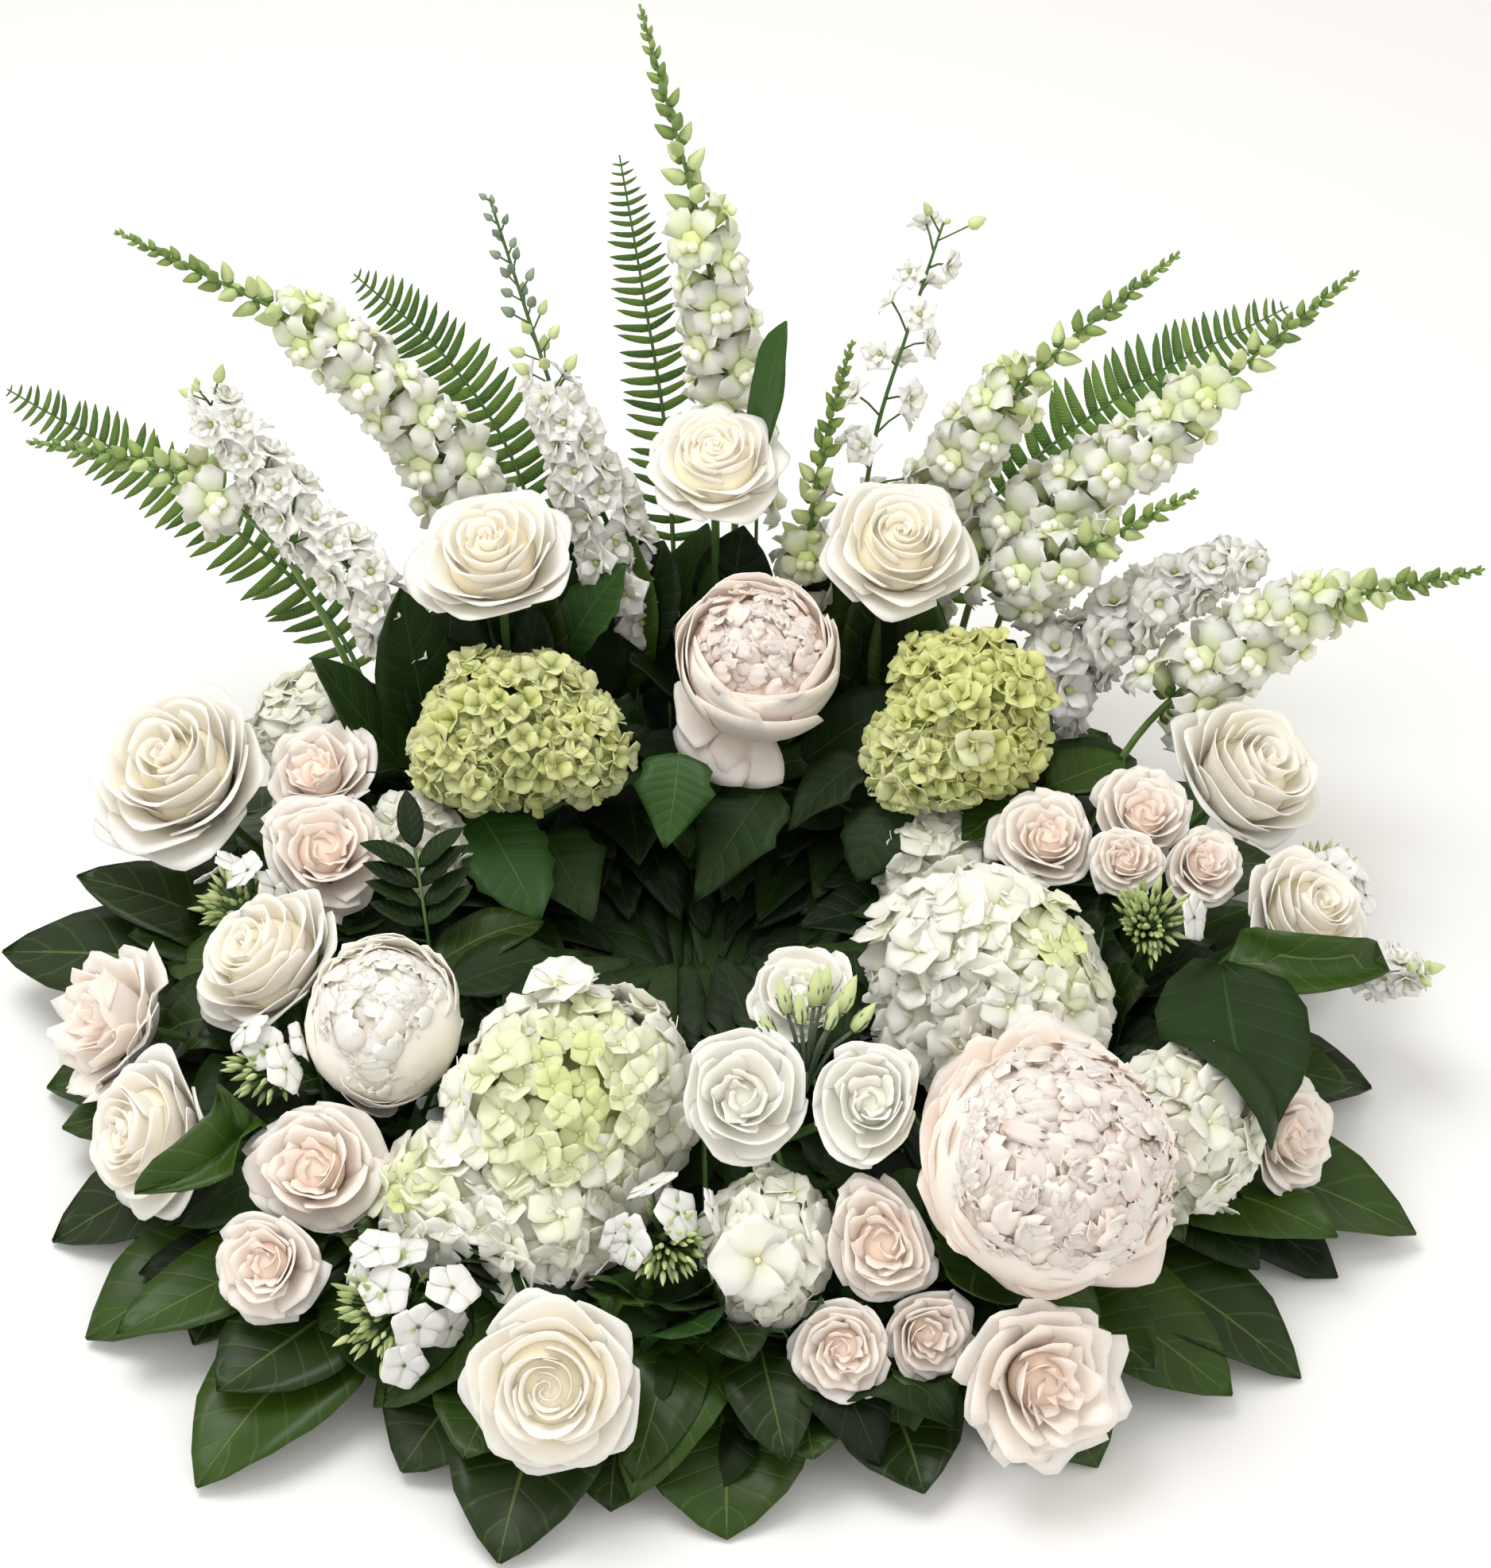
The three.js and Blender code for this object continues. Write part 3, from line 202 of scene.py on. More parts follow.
# %% Petals
VEINS_ACROSS, VEINS_ALONG = 26.0, 1.6
PETAL_CLOUD = 60.0
PETAL_ROUGHNESS = 0.55


def petal_material(name, lip, foot, toned, reach=0.55, vein=0.035):
    """lip and foot are the colours of a petal's two ends; toned is what a full tone turns it to"""
    material, tree, shader = new_material(name)
    across, along = petal_place(tree)
    colour = blend_colours(tree, ramp(tree, along, 0.02, reach), foot, lip)
    colour = blend_colours(tree, petal_tone(tree), colour, toned)
    stretched = node(tree, "ShaderNodeCombineXYZ", {}, {
        0: maths(tree, "MULTIPLY", across, VEINS_ACROSS), 1: maths(tree, "MULTIPLY", along, VEINS_ALONG)})
    fan = noise(tree, 1.0, 2.0, stretched.outputs[0])
    cloud = noise(tree, PETAL_CLOUD, 2.0)
    shade = maths(tree, "ADD", maths(tree, "MULTIPLY", fan, vein * 2), maths(tree, "MULTIPLY", cloud, vein))
    shade = maths(tree, "SUBTRACT", 1.0 + vein * 1.5, shade)
    shaded = node(tree, "ShaderNodeVectorMath", {"operation": "SCALE"}, {0: colour, "Scale": shade})
    dress(tree, shader, shaded.outputs[0], PETAL_ROUGHNESS, fan, 0.25, 0.0006)
    shader.inputs["Sheen Weight"].default_value = 0.12
    shader.inputs["Subsurface Weight"].default_value = 0.42
    shader.inputs["Subsurface Radius"].default_value = (0.9, 0.8, 0.6)
    shader.inputs["Subsurface Scale"].default_value = 0.006
    return material


ROSE = petal_material("ivory rose petal", "faf7ef", "f6efdb", "f5e8c8")
SPRAY = petal_material("cream spray rose petal", "fbf5ec", "f6e7d6", "f2cdb6", vein=0.045)
PEONY = petal_material("blush peony petal", "fdf4e9", "f9e0d0", "f3cdc0", vein=0.045)
PEONY_WHITE = petal_material("white peony petal", "fefaf0", "faecd6", "f4e3c8", vein=0.045)
HYDRANGEA = petal_material("white hydrangea sepal", "fdfbef", "f5f4d0", "dfe69a", reach=0.5, vein=0.06)
LIME = petal_material("lime hydrangea sepal", "dbdf8a", "a3ad48", "f8f7e2", reach=0.75, vein=0.08)
PURE = petal_material("pure white petal", "fcfaf4", "f5f4e0", "f0efd0", reach=0.35)
SNAP = petal_material("snapdragon petal", "f7f6ea", "dbe5ae", "d6e29a", reach=0.7)
print("petal materials", len([ROSE, SPRAY, PEONY, PEONY_WHITE, HYDRANGEA, LIME, PURE, SNAP]))

# %% [markdown]
# ## Leaf and stem materials
# Salal leaves are leathery and waxed: the top is deep green with a sheen, the underside is paler and matt.
# A pale rib runs up the middle (U near zero), and side veins leave it at about 45 degrees, 7 mm apart.

# %% Leaves and stems
LEAF_SHINE = 0.2
LEAF_CLOUD, STEM_CLOUD = 28.0, 90.0
VEIN_SLANT = 1.3


def leaf_material(name, blade, deep, rib, roughness, veins=7.0, coat=0.1):
    material, tree, shader = new_material(name)
    across, along = petal_place(tree)
    side = maths(tree, "ABSOLUTE", across)
    cloud = noise(tree, LEAF_CLOUD, 3.0)
    mottled = maths(tree, "ADD", maths(tree, "MULTIPLY", cloud, 0.5), petal_tone(tree))
    colour = blend_colours(tree, ramp(tree, mottled, 0.15, 1.2), deep, blade)
    slanted = maths(tree, "SUBTRACT", maths(tree, "MULTIPLY", along, veins),
                    maths(tree, "MULTIPLY", side, VEIN_SLANT))
    wave = maths(tree, "ABSOLUTE", maths(tree, "SUBTRACT", maths(tree, "FRACT", slanted), 0.5))
    side_vein = maths(tree, "SUBTRACT", 1.0, ramp(tree, wave, 0.0, 0.09))
    middle = maths(tree, "SUBTRACT", 1.0, ramp(tree, side, 0.01, 0.045))
    lines = maths(tree, "MAXIMUM", middle, maths(tree, "MULTIPLY", side_vein, 0.3))
    colour = blend_colours(tree, maths(tree, "MULTIPLY", lines, 0.42), colour, rib)
    swell = maths(tree, "ADD", maths(tree, "MULTIPLY", lines, -1.0), maths(tree, "MULTIPLY", wave, 0.9))
    dress(tree, shader, colour, roughness, swell, 0.5, 0.0012)
    shader.inputs["Specular IOR Level"].default_value = LEAF_SHINE
    shader.inputs["Coat Weight"].default_value = coat
    shader.inputs["Coat Roughness"].default_value = 0.3
    return material


def stem_material(name, fresh, dark):
    material, tree, shader = new_material(name)
    cloud = noise(tree, STEM_CLOUD, 2.0)
    mottled = maths(tree, "ADD", maths(tree, "MULTIPLY", cloud, 0.5), petal_tone(tree))
    colour = blend_colours(tree, ramp(tree, mottled, 0.1, 1.2), dark, fresh)
    dress(tree, shader, colour, 0.5, cloud, 0.3, 0.0005)
    return material


SALAL = leaf_material("salal leaf, waxed top", "355013", "182906", "748c48", 0.42, coat=0.14)
# A darker, less glossy copy of the salal leaf. Its colour is painted shade, for leaves that lie deep in the
# ring, under other leaves or between the flowers.
SALAL_PAINTED_SHADE = leaf_material("salal leaf, painted shade", "21390f", "0b1805", "3c5826", 0.56, coat=0.03)
SOFT_LEAF = leaf_material("soft garden leaf", "33561f", "193211", "5c8040", 0.5, veins=9.0)
FERN = leaf_material("sword fern leaflet", "7d9a49", "4a6b31", "93b062", 0.5, veins=14.0)
STEM = stem_material("fresh green stem", "86a255", "44662f")
BUD = stem_material("pale green bud", "ced99f", "93a864")
GREEN_BUD = stem_material("small green bud", "8ea654", "4e6b31")
DARK_BUD = stem_material("grey-green bud", "8b9b84", "4d5f49")
print("leaf and stem materials", len([SALAL, SALAL_PAINTED_SHADE, SOFT_LEAF, FERN, STEM, BUD, GREEN_BUD, DARK_BUD]))

# %% [markdown]
# ## One flat sheet for every petal and leaf
# A petal could be sculpted by hand, but this wreath has thousands. Instead one small grid is made with the
# grid primitive for each fineness. U runs across it from -1 to 1, and V along it from foot to tip, 0 to 1.
# A formula bends a copy into each petal, so all of one kind are alike but no two are the same. All sizes
# below are in millimetres, as the real flowers were measured, and turn to metres when a mesh is made.

# %% Sheets and parts
MM = 0.001
Sheet = namedtuple("Sheet", "u v faces")
Part = namedtuple("Part", "points faces uv skin tone")
NO_CORNER = -1
WHOLE = (0, 0, 0)
SHEETS = {}


def grid_sheet(across, along):
    if (across, along) not in SHEETS:
        bpy.ops.object.select_all(action="DESELECT")
        bpy.ops.mesh.primitive_grid_add(x_subdivisions=across, y_subdivisions=along, size=2.0)
        flat = bpy.context.object
        places = np.array([vertex.co[:] for vertex in flat.data.vertices])
        faces = np.array([face.vertices[:] for face in flat.data.polygons])
        bpy.data.meshes.remove(flat.data)
        SHEETS[across, along] = Sheet(places[:, 0], (places[:, 1] + 1) / 2, faces)
    return SHEETS[across, along]


def sheet_part(sheet, points, skin=0, tone=0.0):
    uv = np.column_stack([sheet.u, sheet.v])
    return Part(points, sheet.faces, uv, skin, np.full(len(points), float(tone)))


def moved(part, turn, at, size=1.0):
    return part._replace(points=part.points * size @ np.asarray(turn).T + np.asarray(at, float))


def turn_about_z(angle):
    cosine, sine = math.cos(angle), math.sin(angle)
    return np.array([[cosine, -sine, 0.0], [sine, cosine, 0.0], [0.0, 0.0, 1.0]])


def turn_towards(faces, spin=0.0):
    """The turn that puts a shape facing +Z so that it faces another way, after a spin about its own axis"""
    quaternion = Vector((0.0, 0.0, 1.0)).rotation_difference(Vector(faces))
    return np.array(quaternion.to_matrix()) @ turn_about_z(spin)


print("sheet of 3 by 3 faces:", len(grid_sheet(3, 3).faces), "faces")

# %% [markdown]
# ## From parts to one piece
# Each stem with all that it bears becomes one object, as it grew. Its thin parts are gathered in one mesh
# that gets a wall from Solidify. Its solid parts, such as stems and buds, are closed already and are joined
# to it afterwards. Each face keeps the number of its skin: in a flower 0 is the petal, 1 the stem, 2 a bud
# and 3 the green round a bud.

# %% Making a piece
PETAL_THICKNESS = 0.5
FLORET_THICKNESS = 0.4
LEAF_THICKNESS = 0.7
PETAL_SKIN, STEM_SKIN, BUD_SKIN, CALYX_SKIN = range(4)
COUNTS = {}


def enter(piece, node_name):
    """Names a finished piece after its node, hangs it on the root body in place of the node's own part, and
    counts its triangles
    """
    piece.name = f"{node_name}_dressed"
    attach(piece, "root")
    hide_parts(node_name)
    COUNTS[piece.name] = len(piece.data.loops) - 2 * len(piece.data.polygons)


def gathered_mesh(name, parts, skins):
    points = np.concatenate([part.points for part in parts]) * MM
    uv = np.concatenate([part.uv for part in parts])
    tone = np.concatenate([part.tone for part in parts])
    faces, skin_numbers, start = [], [], 0
    for part in parts:
        quads = part.faces
        if quads.shape[1] == 3:
            quads = np.column_stack([quads, np.full(len(quads), NO_CORNER)])
        faces.append(np.where(quads == NO_CORNER, NO_CORNER, quads + start))
        skin_numbers.append(np.full(len(quads), part.skin))
        start += len(part.points)
    faces = np.concatenate(faces)
    corners = faces[faces != NO_CORNER]
    counts = (faces != NO_CORNER).sum(axis=1)
    mesh = bpy.data.meshes.new(name)
    mesh.vertices.add(len(points))
    mesh.vertices.foreach_set("co", points.astype(np.float32).ravel())
    mesh.loops.add(len(corners))
    mesh.loops.foreach_set("vertex_index", corners.astype(np.int32))
    mesh.polygons.add(len(faces))
    mesh.polygons.foreach_set("loop_start", (np.cumsum(counts) - counts).astype(np.int32))
    mesh.polygons.foreach_set("material_index", np.concatenate(skin_numbers).astype(np.int32))
    mesh.update(calc_edges=True)
    mesh.uv_layers.new(name="petal").data.foreach_set("uv", uv[corners].astype(np.float32).ravel())
    mesh.attributes.new("tone", "FLOAT", "POINT").data.foreach_set("value", tone.astype(np.float32))
    for skin in skins:
        mesh.materials.append(skin)
    made = bpy.data.objects.new(name, mesh)
    bpy.context.scene.collection.objects.link(made)
    return made


def select_only(*objects):
    bpy.ops.object.select_all(action="DESELECT")
    for chosen in objects:
        chosen.select_set(True)
    bpy.context.view_layer.objects.active = objects[0]


def make_piece(node_name, skins, thin=(), solid=(), thickness=PETAL_THICKNESS):
    """One object for a node: its thin parts with a wall, joined with its solid parts"""
    made = []
    if thin:
        walls = gathered_mesh(f"{node_name}_dressed", thin, skins)
        select_only(walls)
        wall = walls.modifiers.new("wall", "SOLIDIFY")
        wall.thickness = thickness * MM
        wall.offset = 0.0
        bpy.ops.object.modifier_apply(modifier=wall.name)
        made.append(walls)
    if solid:
        made.append(gathered_mesh(f"{node_name}_solid_parts", solid, skins))
    select_only(*made)
    if len(made) > 1:
        bpy.ops.object.join()
    bpy.ops.object.shade_smooth()
    enter(bpy.context.view_layer.objects.active, node_name)


print("wall of a petal", PETAL_THICKNESS, "mm, of a leaf", LEAF_THICKNESS, "mm")

# %% [markdown]
# ## Stems
# A stem is a tube along a smooth run of points. The tall stems of the fan follow the same centripetal
# Catmull-Rom curve as the construction, so a finer stem lies exactly where the plain one did. A tube is
# closed at both ends, because a cut or a tip can show.

# %% Curves and tubes
RUN_STEPS = 160
STEM_STRIDE = 5


def smooth_run(corners):
    """Points and directions evenly spaced along a centripetal Catmull-Rom curve"""
    corners = np.asarray(corners, float)
    padded = np.vstack([2 * corners[0] - corners[1], corners, 2 * corners[-1] - corners[-2]])
    dense = []
    for index in range(len(corners) - 1):
        a, b, c, d = padded[index:index + 4]
        gaps = [max(np.linalg.norm(end - begin) ** 0.5, 1e-6) for begin, end in ((a, b), (b, c), (c, d))]
        first = ((b - a) / gaps[0] - (c - a) / (gaps[0] + gaps[1]) + (c - b) / gaps[1]) * gaps[1]
        second = ((c - b) / gaps[1] - (d - b) / (gaps[1] + gaps[2]) + (d - c) / gaps[2]) * gaps[1]
        share = np.linspace(0, 1, 60, endpoint=index == len(corners) - 2)[:, None]
        dense.append(b + first * share + (3 * (c - b) - 2 * first - second) * share ** 2
                     + (2 * (b - c) + first + second) * share ** 3)
    dense = np.vstack(dense)
    travelled = np.concatenate([[0], np.cumsum(np.linalg.norm(np.diff(dense, axis=0), axis=1))])
    even = np.linspace(0, travelled[-1], RUN_STEPS + 1)
    points = np.column_stack([np.interp(even, travelled, dense[:, axis]) for axis in range(3)])
    along = np.gradient(points, axis=0)
    return points, along / np.linalg.norm(along, axis=1)[:, None]


def at_share(run, share):
    """The point and direction at a share of the way along a run"""
    points, along = run
    place = min(max(share, 0.0), 1.0) * (len(points) - 1)
    low = min(int(place), len(points) - 2)
    part = place - low
    direction = along[low] * (1 - part) + along[low + 1] * part
    return points[low] * (1 - part) + points[low + 1] * part, direction / np.linalg.norm(direction)


def frame_round(direction, lead):
    """Two directions square to a stem, the first one nearest to lead"""
    across = lead - direction * np.dot(lead, direction)
    across = across / np.linalg.norm(across)
    return across, np.cross(direction, across)


def tube(path, radii, skin=0, sides=6, tone=0.0):
    path = np.asarray(path, float)
    radii = np.broadcast_to(np.asarray(radii, float), len(path))
    steps = np.gradient(path, axis=0)
    across = np.array([1.0, 0.2, 0.1])
    turns = np.arange(sides) / sides * 2 * math.pi
    rings = []
    for centre, step, radius in zip(path, steps, radii):
        across, upward = frame_round(step / np.linalg.norm(step), across)
        rings.append(centre + radius * (np.cos(turns)[:, None] * across + np.sin(turns)[:, None] * upward))
    points = np.vstack([path[:1], *rings, path[-1:]])
    side = np.arange(sides)
    after = (side + 1) % sides
    faces = []
    for ring in range(len(path) - 1):
        here, there = 1 + ring * sides, 1 + (ring + 1) * sides
        faces.append(np.column_stack([here + side, here + after, there + after, there + side]))
    none = np.full(sides, NO_CORNER)
    faces.append(np.column_stack([np.zeros(sides, int), 1 + after, 1 + side, none]))
    last = 1 + (len(path) - 1) * sides
    top = np.full(sides, len(points) - 1)
    faces.append(np.column_stack([last + side, last + after, top, none]))
    share = np.concatenate([[0], np.repeat(np.linspace(0, 1, len(path)), sides), [1]])
    uv = np.column_stack([np.full(len(points), 0.5), share])
    return Part(points, np.vstack(faces), uv, skin, np.full(len(points), float(tone)))


def tapered_stem(run, foot_radius, tip_radius, skin=STEM_SKIN, tone=0.0):
    path = run[0][::STEM_STRIDE]
    return tube(path, np.linspace(foot_radius, tip_radius, len(path)), skin, tone=tone)


print("tube of 6 sides:", len(tube([(0, 0, 0), (0, 0, 1)], 1).faces), "faces")

# %% [markdown]
# ## Beads and buds
# The dot in the middle of a floret is an ico sphere of 20 faces, and a finer one is the heart of a bloom.
# A bud is a low UV sphere drawn out along its axis: fat near its foot and pointed at its tip, as the buds of
# snapdragons and phlox are.

# %% Bead and bud templates
def solid_template(squeeze=None):
    made = bpy.context.object
    points = np.array([vertex.co[:] for vertex in made.data.vertices])
    faces = np.array([list(face.vertices) + [NO_CORNER] * (4 - len(face.vertices))
                      for face in made.data.polygons])
    bpy.data.meshes.remove(made.data)
    if squeeze:
        points = squeeze(points)
    height = (points[:, 2] - points[:, 2].min()) / np.ptp(points[:, 2])
    uv = np.column_stack([np.full(len(points), 0.5), height])
    return Part(points, faces, uv, 0, np.zeros(len(points)))


BUD_WIDTH, BUD_TAPER = 0.42, 0.75


def teardrop(points):
    height = (points[:, 2] + 1) / 2
    width = BUD_WIDTH * (1 - BUD_TAPER * height ** 1.5)
    return np.column_stack([points[:, 0] * width, points[:, 1] * width, height])


bpy.ops.object.select_all(action="DESELECT")
bpy.ops.mesh.primitive_ico_sphere_add(subdivisions=1, radius=1.0)
BEAD = solid_template()
bpy.ops.mesh.primitive_ico_sphere_add(subdivisions=3, radius=1.0)
HEART = solid_template()
bpy.ops.mesh.primitive_uv_sphere_add(segments=6, ring_count=5, radius=1.0)
TEARDROP = solid_template(teardrop)


def bead(at, radius, skin, tone=0.0):
    return BEAD._replace(points=BEAD.points * radius + at, skin=skin, tone=BEAD.tone + tone)


def heart(head, scale, raised=0.0, tone=0.6):
    """A smooth core in a bloom, so that the view between its petals ends on a petal's colour"""
    points = HEART.points * np.array(scale) * head.radius + (0, 0, raised * head.radius)
    return HEART._replace(points=points @ turn_towards(head.faces).T + head.at, tone=HEART.tone + tone)


def bud(foot, direction, length, skin, tone=0.0, width=1.0):
    points = TEARDROP.points * np.array([width, width, 1.0]) * length
    points = points @ turn_towards(direction).T + foot
    return TEARDROP._replace(points=points, skin=skin, tone=TEARDROP.tone + tone)


print("bead", len(BEAD.faces), "faces, bud", len(TEARDROP.faces), "faces")

# %% [markdown]
# ## Where the heads are
# Each head of flowers has a place, a way it faces and a radius, in millimetres, as in the construction.
# Neighbouring heads press against each other in a full wreath. Each one stays on its own side of the plane
# where the two balls would meet, so petals flatten there and never pass through each other.

# %% Places of the heads
ROSES = {
    "rose_back_middle": [(9, 230, 250), (0, -0.3, 0.95), 43],
    "rose_back_left": [(-120, 184, 215), (-0.1, -0.3, 0.95), 44],
    "rose_back_right": [(116, 196, 215), (0.1, -0.4, 0.9), 43],
    "rose_left_high": [(-302, 103, 120), (-0.25, -0.3, 0.92), 49],
    "rose_left_middle": [(-234, -43, 112), (-0.5, -0.15, 0.85), 44],
    "rose_left_low": [(-289, -132, 72), (-0.7, -0.45, 0.55), 42],
    "rose_front": [(-68, -294, 72), (-0.05, -0.7, 0.7), 46],
    "rose_right_high": [(318, 98, 122), (0.45, -0.2, 0.86), 44],
    "rose_right": [(342, 7, 100), (0.45, -0.3, 0.82), 38],
}
SPRAY_ROSES = {
    "spray_rose_left": [
        [(-222, 100, 122), (-0.1, -0.35, 0.93), 29], [(-214, 47, 112), (0.1, -0.5, 0.86), 33]],
    "spray_rose_left_front": [
        [(-197, -169, 86), (-0.1, -0.6, 0.8), 32], [(-219, -213, 64), (-0.25, -0.6, 0.75), 25]],
    "spray_rose_front_right": [
        [(97, -222, 92), (0, -0.55, 0.83), 31], [(76, -263, 60), (0, -0.7, 0.7), 23],
        [(118, -256, 62), (0.1, -0.75, 0.65), 21], [(174, -285, 62), (0.25, -0.7, 0.66), 35]],
    "spray_rose_right": [
        [(254, 58, 128), (0.1, -0.4, 0.9), 26], [(241, 24, 126), (0, -0.5, 0.85), 19],
        [(285, 30, 116), (0.2, -0.5, 0.84), 21], [(198, 44, 122), (-0.1, -0.45, 0.88), 27]],
    "spray_rose_low_right": [[(319, -122, 60), (0.6, -0.5, 0.6), 26]],
    "spray_rose_left_edge": [[(-324, -50, 72), (-0.8, -0.25, 0.55), 37]],
}
PEONIES = {
    "peony_back": [(35, 148, 170), (0.02, -0.35, 0.93), 49],
    "peony_left": [(-166, -98, 120), (0.05, -0.6, 0.8), 45],
    "peony_front_right": [(172, -197, 122), (0.1, -0.55, 0.83), 66],
}
HYDRANGEAS = {
    "hydrangea_left_front": [(-66, -146, 100), (0, -0.35, 0.93), 74],
    "hydrangea_right": [(164, -44, 98), (0, -0.25, 0.96), 71],
    "hydrangea_lime_left": [(-111, 122, 142), (0.05, -0.5, 0.86), 58],
    "hydrangea_lime_right": [(155, 118, 152), (-0.05, -0.5, 0.86), 56],
    "hydrangea_left_inner": [(-165, 73, 92), (0.2, -0.5, 0.84), 30],
    "hydrangea_right_low": [(262, -137, 80), (0.35, -0.5, 0.8), 39],
    "hydrangea_front": [(40, -217, 78), (0, -0.6, 0.8), 37],
    "hydrangea_left_back": [(-232, 160, 110), (-0.2, 0.1, 0.95), 33],
    "hydrangea_right_inner": [(137, 75, 82), (-0.3, -0.3, 0.9), 32],
}
LISIANTHUS = [[(26, -166, 140), (0, -0.6, 0.8), 31], [(91, -172, 142), (0.05, -0.55, 0.84), 29],
              [(57, -100, 146), (-0.1, -0.3, 0.95), 31]]
PHLOX = {
    "phlox_left": [[(-224, -113, 106), (-0.2, -0.5, 0.84), 27], [(-258, 14, 100), (-0.3, -0.2, 0.93), 27]],
    "phlox_front_left": [[(-151, -246, 70), (-0.1, -0.6, 0.8), 34]],
    "phlox_front": [[(-14, -223, 98), (0.1, -0.6, 0.8), 29]],
    "phlox_right": [[(251, -20, 120), (0.1, -0.4, 0.9), 25]],
    "phlox_right_edge": [[(362, 57, 80), (0.4, -0.1, 0.9), 26]],
}
Head = namedtuple("Head", "at faces radius")


def as_head(row):
    faces = np.array(row[1], float)
    return Head(np.array(row[0], float), faces / np.linalg.norm(faces), float(row[2]))


HEADS = [as_head(row) for table in (ROSES, PEONIES, HYDRANGEAS) for row in table.values()]
HEADS += [as_head(row) for table in (SPRAY_ROSES, PHLOX) for rows in table.values() for row in rows]
HEADS += [as_head(row) for row in LISIANTHUS]
print("heads", len(HEADS))

# %% [markdown]
# ## Pressed petals and plain stems
# A petal that would pass the plane between two heads is squeezed back behind it, so that it bends instead of
# being cut. Below a head its stem runs back and down into the foam, and a branching stem forks on the way.

# %% Pressing heads together, and stems
HEAD_GAP = 0.5
HEAD_REACH = 1.15
PRESSED_FROM = 0.5
OWN_ROOM = 14
TABLE_CLEAR = 1.5
PRESS_ROUNDS = 3


def pressed(part, head, owner=None):
    """The part kept on its own side of every other head, apart from the head that it belongs to"""
    planes = []
    for other in HEADS:
        away = other.at - head.at
        distance = np.linalg.norm(away)
        if distance < OWN_ROOM or (owner is not None and np.allclose(other.at, owner.at)):
            continue
        room = (distance ** 2 + head.radius ** 2 - other.radius ** 2) / (2 * distance) - HEAD_GAP
        if room < head.radius * HEAD_REACH:
            planes.append((away / distance, room))
    offset = part.points - head.at
    reach = head.radius * HEAD_REACH
    for turn in range(PRESS_ROUNDS):
        for away, room in planes:
            start = room - head.radius * PRESSED_FROM
            depth = offset @ away
            squeezed = start + (depth - start) * ((room - start) / (reach - start)) if turn == 0 else depth
            shift = np.where(depth > start, np.minimum(squeezed, room) - depth, 0.0)
            offset = offset + shift[:, None] * away
    points = offset + head.at
    points[:, 2] = np.maximum(points[:, 2], TABLE_CLEAR)
    return part._replace(points=points)


FOAM_INNER = 176
FOAM_OUTER = 252
FOAM_TOP = 50
SOCKET_INSET = 14
STEM_RADIUS = 2.6
STEM_END_HEIGHT = 24
FORK_SHARE = 0.3


def foam_below(point):
    """The nearest place to a point where a stem can end in the foam"""
    flat = math.hypot(point[0], point[1])
    radius = min(max(flat, FOAM_INNER + SOCKET_INSET), FOAM_OUTER - SOCKET_INSET)
    return np.array([point[0] * radius / flat, point[1] * radius / flat, STEM_END_HEIGHT])


def stem_into(head, back_depth):
    back = head.at - head.faces * back_depth
    return [head.at, back, foam_below(back)]


def main_stem(head, back_depth):
    """The stem of a branch's first head, and the place where the other heads' stems leave it"""
    path = stem_into(head, head.radius * back_depth)
    return path, path[1] + (path[2] - path[1]) * FORK_SHARE


def branching_stems(heads, back_depth):
    """The main stem of the first head, and a branch to each of the others from its fork"""
    path, fork = main_stem(heads[0], back_depth)
    stems = [tube(path, STEM_RADIUS, STEM_SKIN)]
    for head in heads[1:]:
        centre, back, _ = stem_into(head, head.radius * back_depth)
        stems.append(tube([centre, back, fork], STEM_RADIUS, STEM_SKIN))
    return stems


print("stems end", STEM_END_HEIGHT, "mm above the table, in the foam")

# %% [markdown]
# ## Wrapped petals
# A rose petal is a spoon that wraps part of the way round the bloom's axis. Its side view is one cubic curve
# from the foot to the lip. Sweeping that curve through an angle gives the spoon, and the corners of the lip
# are drawn in and rolled back, which gives a rose its pointed petals. Each layer is closer to the axis than
# the one before, wraps further round it and stands more upright.

# %% Petals wrapped round an axis
Layer = namedtuple("Layer", "count half low high tip curl drop ruffle grid point", defaults=(0.0,))
FOOT = (0.07, -0.55)
EDGE_SHARPNESS = 2.2
SPIRAL = 0.07
WOBBLE = 0.06
HEIGHT_WOBBLE = 0.05


def wrapped_petal(layer, size, azimuth, tone, foot=FOOT):
    sheet = grid_sheet(*layer.grid)
    u = sheet.u
    v = sheet.v * (1 - layer.drop * np.abs(u) ** EDGE_SHARPNESS)
    stations = [foot, layer.low, layer.high, layer.tip]
    shares = [(1 - v) ** 3, 3 * v * (1 - v) ** 2, 3 * v ** 2 * (1 - v), v ** 3]
    wobble = 1 + draw(-WOBBLE, WOBBLE, len(stations))
    radius = sum(share * station[0] * scale for share, station, scale in zip(shares, stations, wobble))
    height = sum(share * station[1] for share, station in zip(shares, stations))
    height = height + draw(-HEIGHT_WOBBLE, HEIGHT_WOBBLE) * v ** 2
    rolled = layer.curl * np.abs(u) ** 3 * v ** 2
    wave = np.sin(u * draw(3.0, 5.5) + draw(0, ANY_ANGLE))
    wave = wave + 0.4 * np.sin(u * draw(6, 9) + draw(0, ANY_ANGLE))
    wave = wave * layer.ruffle * v ** 3
    corner = layer.point * (0.4 - np.abs(u) ** 1.15) * v ** 3
    radius = radius + rolled + SPIRAL * u * v + wave * 0.5 + corner
    height = height - rolled * 0.7 + wave
    half = math.radians(layer.half) * draw(0.86, 1.12)
    angle = azimuth + half * u * (0.75 + 0.25 * np.sin(math.pi * np.clip(v, 0, 1)))
    points = np.column_stack([radius * np.cos(angle), radius * np.sin(angle), height]) * size
    return sheet_part(sheet, points, PETAL_SKIN, tone)


